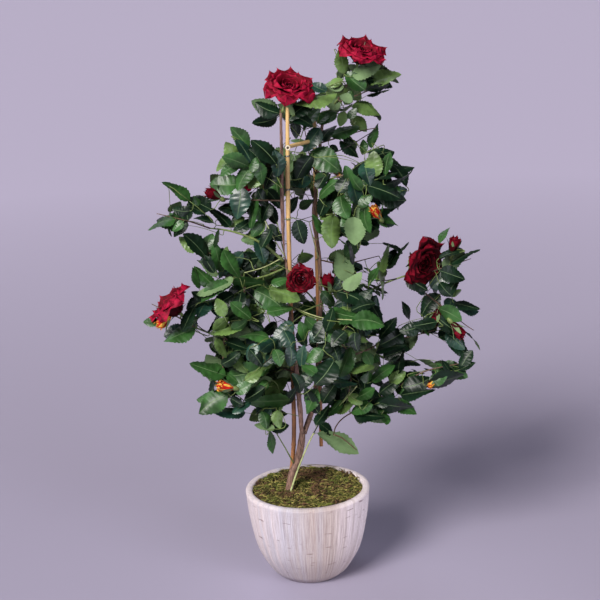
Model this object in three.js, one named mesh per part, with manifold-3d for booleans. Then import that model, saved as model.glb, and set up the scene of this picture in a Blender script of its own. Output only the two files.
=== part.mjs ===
// Potted artificial rose bush, 1.2 m tall: a bowl-shaped pot filled and topped with moss, a short woody
// trunk that forks into two stems, two cane uprights joined by a rung, the boughs that leave them, and the
// masses of foliage and bloom that make the crown. Millimetres, +Z up, origin at the centre of the pot's
// flat underside. +X is the side with the longer low arms, -Y is the front.

import * as THREE from 'three';
import { mergeVertices } from 'three/addons/utils/BufferGeometryUtils.js';
import Module from 'manifold-3d';

const wasm = await Module();
wasm.setup();

// ---- driving dimensions -------------------------------------------------------------------------------

const CLEARANCE = 0.35; // between neighbouring pieces

const POT = {
	height: 206.5,
	footRadius: 66,
	rimRadius: 139.5,
	wall: 14.5,
	floor: 24,
	rimRound: 4,
	sides: 24,
};
// heights up the pot and its outer radius there, from foot to rim: a bowl that steepens as it rises
const POT_BOWL = [
	[ 0, POT.footRadius ],
	[ 8, 77 ],
	[ 24, 92 ],
	[ 72, 117.5 ],
	[ 142, 133 ],
	[ POT.height - POT.rimRound, POT.rimRadius ],
];

const FILLING_TOP = 184;
// the moss is heaved up and down round its top, and falls to its edge over the last few millimetres
const MOSS = { top: 197, heave: 4.5, edge: 190, shoulder: 3, rings: 2, seed: 3, waveLength: 60 };

const CROWN_AXIS = new THREE.Vector2( 10, 0 ); // bearings and reaches are counted from here

const CANE_RADIUS = 5;
const RUNG = { height: 980, radius: 4.6, overhang: 15 };
const GROUND = FILLING_TOP + CLEARANCE; // the stems' flat cuts stand here, on the filling
const SUNK = GROUND - 12; // where their routes start, so that the filling's face cuts them level

const COLOUR = {
	pot: 0xd8d0cc,
	filling: 0x8b857c,
	moss: 0x75702c,
	bark: 0x7d5548,
	cane: 0xd0a476,
	twig: 0x5f7a3c,
	leaf: 0x2f5a2e,
};

// ---- small helpers ------------------------------------------------------------------------------------

const v = ( x, y, z ) => new THREE.Vector3( x, y, z );

// A repeatable run of numbers from 0 to 1.
function seededRandom( seed ) {

	let state = seed * 2654435761 >>> 0;
	return () => {

		state = ( state + 0x6d2b79f5 ) >>> 0;
		let t = Math.imul( state ^ state >>> 15, 1 | state );
		t = t + Math.imul( t ^ t >>> 7, 61 | t ) ^ t;
		return ( ( t ^ t >>> 14 ) >>> 0 ) / 4294967296;

	};

}

// A place in the crown: bearing in degrees from +X towards +Y, reach from the crown's axis, height.
function at( [ bearing, reach, height ] ) {

	const angle = THREE.MathUtils.degToRad( bearing );
	return new THREE.Vector3(
		CROWN_AXIS.x + reach * Math.cos( angle ),
		CROWN_AXIS.y + reach * Math.sin( angle ),
		height,
	);

}

// The geometry as a solid: positions only, shared vertices merged, no triangle folded onto a line.
function solidOf( geometry ) {

	geometry.deleteAttribute( 'normal' );
	geometry.deleteAttribute( 'uv' );
	const merged = mergeVertices( geometry, 1e-3 );
	const index = merged.index.array;
	const kept = [];
	for ( let i = 0; i < index.length; i += 3 ) {

		const [ a, b, c ] = [ index[ i ], index[ i + 1 ], index[ i + 2 ] ];
		if ( a !== b && b !== c && c !== a ) kept.push( a, b, c );

	}

	return new wasm.Manifold( new wasm.Mesh( {
		numProp: 3,
		vertProperties: new Float32Array( merged.attributes.position.array ),
		triVerts: new Uint32Array( kept ),
	} ) );

}

// The largest whole piece of a solid, without the crumbs a cut can leave.
function mainBody( solid ) {

	const pieces = solid.decompose();
	return pieces.reduce( ( best, piece ) => piece.volume() > best.volume() ? piece : best );

}

function geometryOf( solid ) {

	const mesh = solid.getMesh();
	const geometry = new THREE.BufferGeometry();
	geometry.setAttribute( 'position', new THREE.BufferAttribute( mesh.vertProperties, 3 ) );
	geometry.setIndex( new THREE.BufferAttribute( mesh.triVerts, 1 ) );
	geometry.computeVertexNormals();
	return geometry;

}

// ---- pot, filling and moss ----------------------------------------------------------------------------

function bowlRadius( height ) {

	const after = POT_BOWL.findIndex( ( [ h ] ) => h >= height );
	if ( after <= 0 ) return POT_BOWL[ 0 ][ 1 ];
	const [ h0, r0 ] = POT_BOWL[ after - 1 ];
	const [ h1, r1 ] = POT_BOWL[ after ];
	return r0 + ( r1 - r0 ) * ( height - h0 ) / ( h1 - h0 );

}

function turned( profile, sides ) {

	const geometry = new THREE.LatheGeometry( profile.map( ( [ r, h ] ) => new THREE.Vector2( r, h ) ), sides );
	geometry.rotateX( Math.PI / 2 );
	return geometry;

}

// The inside of the pot, from its floor up to a height, drawn in by a gap.
function innerProfile( top, gap ) {

	const between = POT_BOWL.map( ( [ h ] ) => h ).filter( ( h ) => h > POT.floor && h < top );
	return [ POT.floor, ...between, top ].map( ( h ) => [ bowlRadius( h ) - POT.wall - gap, h ] );

}

function potSolid() {

	const outside = POT_BOWL.map( ( [ h, r ] ) => [ r, h ] );
	const rim = [];
	const rimFacets = 4;
	const rimCentre = POT.rimRadius - POT.wall / 2;
	for ( let i = 1; i < rimFacets; i ++ ) {

		const angle = Math.PI * i / rimFacets;
		rim.push( [
			rimCentre + POT.wall / 2 * Math.cos( angle ),
			POT.height - POT.rimRound + POT.rimRound * Math.sin( angle ),
		] );

	}

	const inside = innerProfile( POT.height - POT.rimRound, 0 ).reverse();
	return solidOf( turned( [ [ 0, 0 ], ...outside, ...rim, ...inside, [ 0, POT.floor ] ], POT.sides ) );

}

function fillingSolid( top ) {

	const wall = innerProfile( top, CLEARANCE );
	wall[ 0 ][ 1 ] += CLEARANCE;
	const low = wall[ 0 ][ 1 ];
	return solidOf( turned( [ [ 0, low ], ...wall, [ 0, top ] ], POT.sides ) );

}

// A low uneven cake of moss that lies on the filling and meets the pot's wall.
function mossSolid() {

	const low = GROUND + CLEARANCE / 4;
	const edge = bowlRadius( low ) - POT.wall - CLEARANCE;
	const profile = [ [ 0, low ], [ edge, low ], [ edge, MOSS.edge ] ];
	for ( let i = MOSS.rings; i > 0; i -- ) {

		profile.push( [ ( edge - MOSS.shoulder ) * i / MOSS.rings, MOSS.top ] );

	}

	profile.push( [ 0, MOSS.top ] );
	const geometry = turned( profile, POT.sides );
	const random = seededRandom( MOSS.seed );
	const phases = [ random(), random(), random() ].map( ( p ) => p * Math.PI * 2 );
	const position = geometry.attributes.position;
	for ( let i = 0; i < position.count; i ++ ) {

		if ( position.getZ( i ) <= MOSS.edge ) continue;
		const [ x, y ] = [ position.getX( i ) / MOSS.waveLength, position.getY( i ) / MOSS.waveLength ];
		const lift = Math.sin( 2 * x + phases[ 0 ] ) + Math.sin( 3 * y + phases[ 1 ] )
			+ Math.sin( 4 * ( x - y ) + phases[ 2 ] );
		position.setZ( i, MOSS.top + MOSS.heave * lift / 3 );

	}

	return solidOf( geometry );

}

// ---- limbs --------------------------------------------------------------------------------------------

const FLARE_POWER = 6; // how soon the spread at a limb's foot dies away

// A tapering limb along a smooth curve: a turned rod whose every ring is carried onto the curve.
// grow makes it that much larger all over, for cutting its place out of a neighbour.
function limbSolid( { route, foot, tip, flare = 0, sides = 5, steps = 4 }, grow = 0 ) {

	const curve = new THREE.CatmullRomCurve3( route.map( ( point ) => v( ...point ) ), false, 'centripetal' );
	const frames = curve.computeFrenetFrames( steps, false );
	const profile = [ new THREE.Vector2( 0, 0 ) ];
	for ( let i = 0; i <= steps; i ++ ) {

		const share = i / steps;
		const flared = flare * Math.pow( 1 - share, FLARE_POWER );
		profile.push( new THREE.Vector2( foot + ( tip - foot ) * share + flared + grow, i ) );

	}

	profile.push( new THREE.Vector2( 0, steps ) );
	const geometry = new THREE.LatheGeometry( profile, sides );
	const position = geometry.attributes.position;
	for ( let i = 0; i < position.count; i ++ ) {

		const step = Math.round( position.getY( i ) );
		const point = curve.getPointAt( step / steps );
		const end = step === 0 ? - grow : step === steps ? grow : 0;
		point.addScaledVector( frames.tangents[ step ], end );
		point.addScaledVector( frames.normals[ step ], position.getX( i ) );
		point.addScaledVector( frames.binormals[ step ], - position.getZ( i ) );
		position.setXYZ( i, point.x, point.y, point.z );

	}

	return solidOf( geometry );

}

// The two canes stand almost straight. The left one starts behind the trunk and comes forward as it rises;
// the right one is carried by the rung and by the stem bound beside it, and ends above the moss.
const CANES = [
	{
		name: 'left_cane', foot: CANE_RADIUS, tip: 4.6, sides: 8, steps: 6,
		route: [
			[ -42, 26, SUNK ], [ -34, 20, 225 ], [ -26, 5, 320 ],
			[ -21, -20, 600 ], [ -17, -36, 860 ], [ -10, -45, 1060 ],
		],
	},
	{
		name: 'right_cane', foot: CANE_RADIUS, tip: 4.6, sides: 8, steps: 4,
		route: [ [ 35, 60, 278 ], [ 40, 60, 620 ], [ 43, 60, 860 ], [ 47, 60, 1031 ] ],
	},
];

// The rung passes the right front side of both canes and stands out a little at either end.
function rungRoute() {

	const [ left, right ] = [ v( - 13.5, - 42, RUNG.height ), v( 46, 60, RUNG.height ) ];
	const along = right.clone().sub( left ).normalize();
	const aside = v( along.y, - along.x, 0 ).multiplyScalar( CANE_RADIUS + RUNG.radius + CLEARANCE );
	return [
		left.clone().add( aside ).addScaledVector( along, - RUNG.overhang ).toArray(),
		right.clone().add( aside ).addScaledVector( along, RUNG.overhang ).toArray(),
	];

}

const STEMS = [
	{
		name: 'trunk', foot: 8.5, tip: 8.5, flare: 4.5, sides: 8, steps: 7,
		route: [ [ -45, 0, SUNK ], [ -35, 0, 232 ], [ -21, -1, 266 ], [ -11, -4, 303 ], [ -7, -8, 334 ] ],
	},
	{
		name: 'left_stem', foot: 6.5, tip: 3.2, sides: 7, steps: 10,
		route: [
			[ -8, -8, 328 ], [ -10, -16, 400 ], [ -13, -24, 463 ], [ -19, -34, 574 ],
			[ -29, -32, 727 ], [ -30, -40, 832 ], [ -27, -48, 941 ], [ -24, -52, 1050 ],
		],
	},
	{
		name: 'right_stem', foot: 6.5, tip: 3.6, sides: 7, steps: 10,
		route: [
			[ -5, -6, 328 ], [ 14, 20, 366 ], [ 27, 40, 420 ], [ 41, 47, 555 ], [ 46, 44, 650 ],
			[ 45, 44, 738 ], [ 37, 46, 815 ], [ 46, 45, 881 ], [ 57, 50, 963 ], [ 66, 54, 1024 ],
		],
	},
];

// Boughs run from a stem to the mass they carry. The first point lies in the stem, which trims them.
const BOUGHS = [
	{
		name: 'top_left_bough', foot: 2.8, tip: 2,
		route: [ [ -24, -52, 1042 ], [ -17, -48, 1064 ], [ -8, -42, 1082 ] ],
	},
	{
		name: 'top_right_bough', foot: 3, tip: 2.2,
		route: [ [ 66, 54, 1018 ], [ 86, 52, 1048 ], [ 106, 46, 1074 ] ],
	},
	{
		name: 'upper_left_bough', foot: 2.8, tip: 2,
		route: [ [ -28, -46, 906 ], [ -46, -50, 924 ], [ -72, -55, 940 ] ],
	},
	{
		name: 'left_arm_bough', foot: 3.2, tip: 1.9, steps: 6,
		route: [ [ -29, -34, 730 ], [ -76, -46, 776 ], [ -138, -44, 804 ], [ -184, -42, 812 ] ],
	},
	{
		name: 'upper_right_bough', foot: 3, tip: 2.2,
		route: [ [ 46, 45, 874 ], [ 62, 18, 892 ], [ 88, -10, 906 ] ],
	},
	{
		name: 'mid_left_bough', foot: 3, tip: 2,
		route: [ [ -28, -33, 718 ], [ -70, -50, 706 ], [ -112, -60, 700 ] ],
	},
	{
		name: 'left_rose_bough', foot: 3, tip: 2.2,
		route: [ [ -165, -78, 582 ], [ -196, -88, 596 ], [ -226, -97, 612 ] ],
	},
	{
		name: 'right_rose_bough', foot: 3, tip: 2.2,
		route: [ [ 138, -30, 652 ], [ 180, -36, 675 ], [ 224, -45, 692 ] ],
	},
	{
		name: 'right_low_bough', foot: 3, tip: 2.2,
		route: [ [ 110, -40, 520 ], [ 148, -30, 530 ], [ 178, -22, 546 ] ],
	},
	{
		name: 'right_outer_bough', foot: 3, tip: 2,
		route: [ [ 150, -60, 410 ], [ 182, -60, 436 ], [ 222, -62, 462 ] ],
	},
	{
		name: 'green_shoot', foot: 2.4, tip: 1.6, steps: 6,
		route: [ [ -48, -16, SUNK ], [ -25, -16, 239 ], [ -7, -20, 285 ], [ 15, -26, 334 ], [ 44, -36, 388 ] ],
	},
	{
		name: 'low_left_twig', foot: 1.8, tip: 1.3,
		route: [ [ -26, -2, 256 ], [ -46, -28, 309 ], [ -70, -54, 366 ] ],
	},
	{
		name: 'low_right_twig', foot: 2, tip: 1.5,
		route: [ [ 112, -46, 394 ], [ 84, -36, 376 ], [ 64, -22, 344 ], [ 62, -18, 332 ] ],
	},
	{
		name: 'back_upper_bough', foot: 3.2, tip: 2.2,
		route: [ [ 44, 48, 850 ], [ 34, 80, 876 ], [ 24, 112, 896 ] ],
	},
	{
		name: 'back_middle_bough', foot: 3.2, tip: 2.2,
		route: [ [ 45, 46, 600 ], [ 34, 84, 612 ], [ 20, 122, 622 ] ],
	},
	{
		name: 'back_low_bough', foot: 3.2, tip: 2.2,
		route: [ [ 32, 43, 450 ], [ 62, 74, 458 ], [ 98, 98, 464 ] ],
	},
];

// ---- foliage ------------------------------------------------------------------------------------------

// facets round and along a mass, how blunt and how lumpy it is, and the gap it leaves to its neighbours
const MASS = { around: 9, along: 7, fullness: 0.75, unevenness: 0.3, seating: 0.6, firstSeed: 11 };

// Each mass runs from its root, near a stem or at the end of a bough, to its tip: [bearing, reach, height].
// breadth is its size level across that line, and depth its size square to both.
const MASSES = [
	{ name: 'top_right_foliage', root: [ 18, 112, 1078 ], tip: [ 6, 156, 1200 ], breadth: 100, depth: 105 },
	{ name: 'top_right_inner_foliage', root: [ 45, 72, 1012 ], tip: [ 6, 214, 1106 ], breadth: 105, depth: 84 },
	{ name: 'top_left_foliage', root: [ 206, 92, 1050 ], tip: [ 355, 62, 1100 ], breadth: 110, depth: 100 },
	{ name: 'upper_left_foliage', root: [ 228, 68, 925 ], tip: [ 212, 182, 975 ], breadth: 120, depth: 105 },
	{ name: 'upper_left_low_foliage', root: [ 186, 58, 850 ], tip: [ 176, 206, 875 ], breadth: 115, depth: 100 },
	{ name: 'left_waist_foliage', root: [ 208, 50, 790 ], tip: [ 204, 125, 755 ], breadth: 90, depth: 80 },
	{ name: 'upper_right_tip_foliage', root: [ 30, 112, 950 ], tip: [ 22, 190, 1015 ], breadth: 65, depth: 60 },
	{ name: 'upper_right_foliage', root: [ 358, 66, 912 ], tip: [ 340, 248, 908 ], breadth: 130, depth: 115 },
	{ name: 'right_shoulder_foliage', root: [ 2, 56, 815 ], tip: [ 350, 205, 818 ], breadth: 120, depth: 115 },
	{ name: 'heart_foliage', root: [ 70, 30, 1030 ], tip: [ 65, 30, 840 ], breadth: 80, depth: 90 },
	{ name: 'left_arm_foliage', root: [ 192, 180, 815 ], tip: [ 191, 338, 858 ], breadth: 90, depth: 95 },
	{ name: 'mid_left_outer_foliage', root: [ 206, 136, 700 ], tip: [ 198, 262, 790 ], breadth: 100, depth: 80 },
	{ name: 'mid_left_foliage', root: [ 226, 80, 640 ], tip: [ 204, 250, 668 ], breadth: 135, depth: 105 },
	{ name: 'centre_rose_foliage', root: [ 236, 38, 650 ], tip: [ 264, 132, 735 ], breadth: 90, depth: 96 },
	{ name: 'left_rose_foliage', root: [ 204, 240, 612 ], tip: [ 198, 362, 680 ], breadth: 105, depth: 100 },
	{ name: 'low_left_foliage', root: [ 208, 50, 540 ], tip: [ 196, 236, 560 ], breadth: 140, depth: 105 },
	{ name: 'low_left_outer_foliage', root: [ 212, 112, 458 ], tip: [ 201, 270, 478 ], breadth: 115, depth: 92 },
	{ name: 'low_left_under_foliage', root: [ 205, 44, 430 ], tip: [ 206, 140, 372 ], breadth: 110, depth: 85 },
	{ name: 'front_left_foliage', root: [ 238, 72, 530 ], tip: [ 242, 232, 580 ], breadth: 105, depth: 110 },
	{ name: 'front_foliage', root: [ 266, 44, 505 ], tip: [ 272, 205, 525 ], breadth: 105, depth: 120 },
	{ name: 'front_right_foliage', root: [ 305, 66, 590 ], tip: [ 300, 225, 605 ], breadth: 110, depth: 120 },
	{ name: 'mid_right_foliage', root: [ 350, 48, 660 ], tip: [ 342, 182, 645 ], breadth: 140, depth: 145 },
	{ name: 'right_rose_foliage', root: [ 349, 212, 688 ], tip: [ 351, 392, 735 ], breadth: 105, depth: 110 },
	{ name: 'right_outer_foliage', root: [ 354, 285, 640 ], tip: [ 355, 378, 550 ], breadth: 90, depth: 80 },
	{ name: 'right_low_foliage', root: [ 350, 150, 530 ], tip: [ 356, 300, 585 ], breadth: 100, depth: 90 },
	{ name: 'right_low_outer_foliage', root: [ 344, 205, 465 ], tip: [ 349, 385, 512 ], breadth: 95, depth: 70 },
	{ name: 'right_under_foliage', root: [ 325, 100, 412 ], tip: [ 341, 248, 415 ], breadth: 110, depth: 75 },
	{ name: 'low_right_foliage', root: [ 310, 40, 480 ], tip: [ 325, 180, 488 ], breadth: 140, depth: 130 },
	{ name: 'droop_right_foliage', root: [ 345, 40, 340 ], tip: [ 345, 118, 288 ], breadth: 50, depth: 40 },
	{ name: 'back_upper_foliage', root: [ 96, 76, 890 ], tip: [ 104, 205, 925 ], breadth: 140, depth: 130 },
	{ name: 'back_middle_foliage', root: [ 88, 80, 625 ], tip: [ 94, 255, 635 ], breadth: 150, depth: 140 },
	{ name: 'back_right_foliage', root: [ 46, 54, 690 ], tip: [ 36, 255, 705 ], breadth: 125, depth: 115 },
	{ name: 'back_left_foliage', root: [ 150, 40, 690 ], tip: [ 134, 238, 690 ], breadth: 150, depth: 110 },
	{ name: 'back_low_left_foliage', root: [ 206, 28, 480 ], tip: [ 138, 235, 478 ], breadth: 130, depth: 105 },
	{ name: 'back_low_right_foliage', root: [ 52, 92, 470 ], tip: [ 48, 250, 470 ], breadth: 135, depth: 110 },
];

// A mass is a ball drawn out along its line, filled out towards its ends and heaved into uneven lumps.
function massSolid( { root, tip, breadth, depth }, seed, grow = 0 ) {

	const [ start, end ] = [ at( root ), at( tip ) ];
	const line = end.clone().sub( start );
	const length = line.length();
	const along = line.normalize();
	const across = new THREE.Vector3().crossVectors( along, v( 0, 0, 1 ) ).normalize();
	const square = new THREE.Vector3().crossVectors( along, across );
	const middle = start.clone().add( end ).multiplyScalar( 0.5 );

	const random = seededRandom( seed );
	const waves = [ [ 2, 1 ], [ 3, 2 ], [ 1, 4 ] ].map( ( [ turns, runs ] ) => ( {
		turns, runs: runs * ( random() < 0.5 ? - 1 : 1 ), phase: random() * Math.PI * 2,
	} ) );

	const geometry = new THREE.SphereGeometry( 1, MASS.around, MASS.along );
	geometry.rotateX( Math.PI / 2 );
	const position = geometry.attributes.position;
	for ( let i = 0; i < position.count; i ++ ) {

		const [ x, y, z ] = [ position.getX( i ), position.getY( i ), position.getZ( i ) ];
		const round = Math.hypot( x, y );
		const turn = round > 1e-6 ? Math.atan2( y, x ) : 0;
		let lump = 0;
		for ( const wave of waves ) lump += Math.sin( wave.turns * turn + wave.runs * z * 2 + wave.phase );
		const full = Math.pow( round, MASS.fullness ) * ( 1 + MASS.unevenness * lump / waves.length );
		const point = middle.clone().addScaledVector( along, z * ( length / 2 + grow ) );
		if ( round > 1e-6 ) {

			point.addScaledVector( across, full * Math.cos( turn ) * ( breadth / 2 + grow ) );
			point.addScaledVector( square, full * Math.sin( turn ) * ( depth / 2 + grow ) );

		}

		position.setXYZ( i, point.x, point.y, point.z );

	}

	return solidOf( geometry );

}

// ---- assembly -----------------------------------------------------------------------------------------

const roseBush = new THREE.Group();
const placed = []; // what later pieces are trimmed to: { solid, box }

const finish = ( color, roughness ) => new THREE.MeshStandardMaterial( { color, roughness, metalness: 0 } );

function boxOf( solid ) {

	const { min, max } = solid.boundingBox();
	return new THREE.Box3( v( ...min ), v( ...max ) );

}

// Adds a piece, trimmed to the grown forms of everything placed before it.
function place( name, solid, grown, color, roughness ) {

	const box = boxOf( solid );
	let trimmed = solid;
	for ( const other of placed ) {

		if ( other.box.intersectsBox( box ) ) trimmed = trimmed.subtract( other.solid );

	}

	if ( grown ) placed.push( { solid: grown, box: boxOf( grown ) } );
	const mesh = new THREE.Mesh( geometryOf( mainBody( trimmed ) ), finish( color, roughness ) );
	mesh.name = name;
	roseBush.add( mesh );

}

function placeLimb( limb, color, roughness ) {

	place( limb.name, limbSolid( limb ), limbSolid( limb, CLEARANCE ), color, roughness );

}

place( 'pot', potSolid(), null, COLOUR.pot, 0.8 );
place( 'pot_filling', fillingSolid( FILLING_TOP ), fillingSolid( GROUND ), COLOUR.filling, 0.95 );

const rung = {
	name: 'cane_rung', foot: RUNG.radius, tip: RUNG.radius, sides: 8, steps: 2,
	route: rungRoute(),
};
for ( const cane of [ ...CANES, rung ] ) placeLimb( cane, COLOUR.cane, 0.55 );
for ( const stem of STEMS ) placeLimb( stem, COLOUR.bark, 0.8 );
for ( const bough of BOUGHS ) placeLimb( bough, COLOUR.twig, 0.6 );
place( 'moss', mossSolid(), null, COLOUR.moss, 1 );

MASSES.forEach( ( mass, i ) => {

	const seed = MASS.firstSeed + i;
	place( mass.name, massSolid( mass, seed ), massSolid( mass, seed, MASS.seating ), COLOUR.leaf, 0.5 );

} );

export default roseBush;
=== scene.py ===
"""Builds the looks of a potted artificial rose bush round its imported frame: the ribbed bowl pot and its moss,
the bark of trunk and stems, the canes, and the twigs, leaves, blooms and buds that grow on from the limbs."""

import dataclasses
import functools
import math
import random

import bpy
import numpy as np
from bpy.props import (
    FloatProperty,
    FloatVectorProperty,
    IntProperty,
    PointerProperty,
)
from mathutils import Matrix, Vector, noise
from mathutils.bvhtree import BVHTree


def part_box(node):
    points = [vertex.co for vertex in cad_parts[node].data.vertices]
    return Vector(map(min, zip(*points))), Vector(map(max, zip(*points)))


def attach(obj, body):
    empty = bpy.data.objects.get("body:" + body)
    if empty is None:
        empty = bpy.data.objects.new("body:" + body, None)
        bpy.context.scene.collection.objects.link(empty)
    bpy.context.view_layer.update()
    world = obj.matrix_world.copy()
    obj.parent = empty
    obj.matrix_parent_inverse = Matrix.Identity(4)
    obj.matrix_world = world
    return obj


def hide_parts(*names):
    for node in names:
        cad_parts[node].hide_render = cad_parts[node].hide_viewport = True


bl_info = {
    "name": "Potted rose bush",
    "version": (1, 0, 0),
    "blender": (4, 5, 0),
    "location": "3D View > Sidebar > Rose bush",
    "description": "Builds a potted artificial rose bush round its packed frame",
    "category": "Add Mesh",
}

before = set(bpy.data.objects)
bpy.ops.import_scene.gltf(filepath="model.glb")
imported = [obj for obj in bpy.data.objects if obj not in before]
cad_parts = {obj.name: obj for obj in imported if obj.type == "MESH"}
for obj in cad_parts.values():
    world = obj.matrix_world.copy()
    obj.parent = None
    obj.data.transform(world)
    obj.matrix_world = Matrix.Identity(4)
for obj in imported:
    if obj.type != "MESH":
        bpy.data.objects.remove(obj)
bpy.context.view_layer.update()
BODY = "root"
MM = 0.001
# The turn from one petal whorl or leaf to the next, which keeps them out of line.
GOLDEN = math.radians(137.5)

# ----------------------------------------------------------
# Camera. Its picture is square, and places in it are given in 600ths of a side, from the top left.

PICTURE = 600
FOCAL = 1324.0
SENSOR = 36.0
CAMERA_AT = Vector((0.0, -2.8, 1.3245))
EYE = np.array(CAMERA_AT)
CAMERA_PITCH = math.radians(13.78)
CAMERA_ROLL = math.radians(2.31)


def camera_axes():
    """The camera's right, up and forward directions."""
    forward = Vector((0.0, math.cos(CAMERA_PITCH), -math.sin(CAMERA_PITCH)))
    level = Vector((1.0, 0.0, 0.0))
    rise = level.cross(forward)
    right = level * math.cos(CAMERA_ROLL) - rise * math.sin(CAMERA_ROLL)
    up = level * math.sin(CAMERA_ROLL) + rise * math.cos(CAMERA_ROLL)
    return right, up, forward


RIGHT, UP, FORWARD = camera_axes()


def sight(x, y):
    """The ray along which the camera sees the picture place x, y, one metre deep."""
    middle = PICTURE / 2
    return FORWARD + RIGHT * ((x - middle) / FOCAL) - UP * ((y - middle) / FOCAL)


def in_picture(points):
    """Picture places and distances of an array of points, one row x, y, distance for each."""
    offset = np.asarray(points, float) - EYE
    distance = offset @ np.array(FORWARD)
    x = PICTURE / 2 + FOCAL * (offset @ np.array(RIGHT)) / distance
    y = PICTURE / 2 - FOCAL * (offset @ np.array(UP)) / distance
    return np.stack([x, y, distance], axis=-1)


# ----------------------------------------------------------
# Joined meshes

RING_GAP = 6 * MM
RING_POINTS = 4
HOLLOW_SHARE = 0.5


class Heap:
    """Points and faces gathered part by part, to be joined into one mesh."""

    def __init__(self):
        self.points = []
        self.faces = []
        self.finishes = []
        self.count = 0

    def add(self, points, *face_sets, finish=0):
        """Adds points and the faces between them. finish is one material index, or one for each face."""
        for faces in face_sets:
            self.faces.append(np.asarray(faces, np.int64) + self.count)
            self.finishes.append(np.broadcast_to(np.asarray(finish, np.int32), len(faces)))
        self.points.append(np.asarray(points, float).reshape(-1, 3))
        self.count += len(self.points[-1])


def add_piece(name, heap, materials, nodes=()):
    """Joins a heap into one smooth mesh that rides on the body and stands for the named nodes."""
    mesh = bpy.data.meshes.new(name)
    points = np.concatenate(heap.points)
    corners = np.concatenate([faces.ravel() for faces in heap.faces])
    sizes = np.concatenate([np.full(len(faces), faces.shape[1]) for faces in heap.faces])
    finishes = np.concatenate(heap.finishes)
    mesh.vertices.add(len(points))
    mesh.vertices.foreach_set("co", points.ravel())
    mesh.loops.add(len(corners))
    mesh.loops.foreach_set("vertex_index", corners)
    mesh.polygons.add(len(sizes))
    mesh.polygons.foreach_set("loop_start", np.concatenate([[0], np.cumsum(sizes)[:-1]]))
    mesh.polygons.foreach_set("material_index", finishes)
    mesh.polygons.foreach_set("use_smooth", np.ones(len(sizes), bool))
    for material in materials:
        mesh.materials.append(material)
    mesh.update(calc_edges=True)
    mesh.validate()
    piece = bpy.data.objects.new(name, mesh)
    bpy.context.scene.collection.objects.link(piece)
    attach(piece, BODY)
    if nodes:
        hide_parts(*nodes)


def grid_faces(rows, columns, closed=False, flip=False):
    """Quads of a grid of rows x columns points. closed joins the last column to the first."""
    row = np.arange(rows - 1)[:, None] * columns
    last = columns if closed else columns - 1
    column = np.arange(last)[None, :]
    beside = (column + 1) % columns
    quads = np.stack([row + column, row + beside, row + columns + beside, row + columns + column], -1)
    quads = quads.reshape(-1, 4)
    return quads[:, ::-1] if flip else quads


def halved(quads, flip=False):
    """Each quad as two triangles, always cut from its first corner. flip turns their faces round."""
    triangles = np.concatenate([quads[:, [0, 1, 2]], quads[:, [0, 2, 3]]])
    return triangles[:, ::-1] if flip else triangles


def fan(first, sides, centre, flip=False):
    """Triangles that close a ring of points, numbered from first, to a centre. flip turns them round."""
    turn = np.arange(sides)
    beside = (turn + 1) % sides
    if flip:
        turn, beside = beside, turn
    return np.stack([first + turn, first + beside, np.full(sides, centre)], -1)


def unit(vectors):
    """The vectors of an array at length one."""
    return vectors / np.maximum(np.linalg.norm(vectors, axis=-1, keepdims=True), 1e-12)


def smooth_line(points, step):
    """A smooth curve through the points, as an array with a point about every step metres."""
    points = [np.asarray(p, float) for p in points]
    before = 2 * points[0] - points[1]
    after = 2 * points[-1] - points[-2]
    knots = [before, *points, after]
    line = [points[0]]
    for a, b, c, d in zip(knots, knots[1:], knots[2:], knots[3:]):
        count = max(1, round(float(np.linalg.norm(c - b)) / step))
        for t in np.arange(1, count + 1) / count:
            near = 2 * b + (c - a) * t
            far = (2 * a - 5 * b + 4 * c - d) * t * t + (3 * b - a - 3 * c + d) * t ** 3
            line.append((near + far) / 2)
    return np.array(line)


def frames_along(line):
    """The direction of a line at each point, and two directions square to it that never twist round it."""
    along = unit(np.gradient(line, axis=0))
    start = np.cross(along[0], (0.3, 1.0, 0.2))
    side = [start / np.linalg.norm(start)]
    for direction in along[1:]:
        turned = side[-1] - direction * (side[-1] @ direction)
        side.append(turned / np.linalg.norm(turned))
    side = np.array(side)
    return along, side, np.cross(along, side)


def tube(heap, line, radii, sides, relief=None, finish=0, hollow=0.0):
    """Adds a round tube along a line to the heap. relief(angle, height along it) is added to the radius.
    hollow above zero leaves the far end open to a dish that many metres deep."""
    line = np.asarray(line, float)
    radii = np.broadcast_to(radii, len(line)).astype(float)
    along, side, other = frames_along(line)
    angle = np.arange(sides) * (2 * math.pi / sides)
    reach = np.repeat(radii[:, None], sides, 1)
    if relief is not None:
        distance = np.concatenate([[0], np.cumsum(np.linalg.norm(np.diff(line, axis=0), axis=1))])
        reach = reach + relief(angle[None, :], distance[:, None])
    ring = side[:, None] * np.cos(angle)[None, :, None] + other[:, None] * np.sin(angle)[None, :, None]
    rings = list(line[:, None] + ring * reach[..., None])
    end = line[-1]
    if hollow:
        end = line[-1] - along[-1] * hollow
        rings.append(line[-1] + ring[-1] * (radii[-1] * HOLLOW_SHARE))
        rings.append(end + ring[-1] * (radii[-1] * HOLLOW_SHARE))
    points = np.concatenate([*rings, [line[0], end]])
    foot = fan(0, sides, len(points) - 2, flip=True)
    head = fan((len(rings) - 1) * sides, sides, len(points) - 1)
    heap.add(points, grid_faces(len(rings), sides, closed=True), foot, head, finish=finish)


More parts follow.
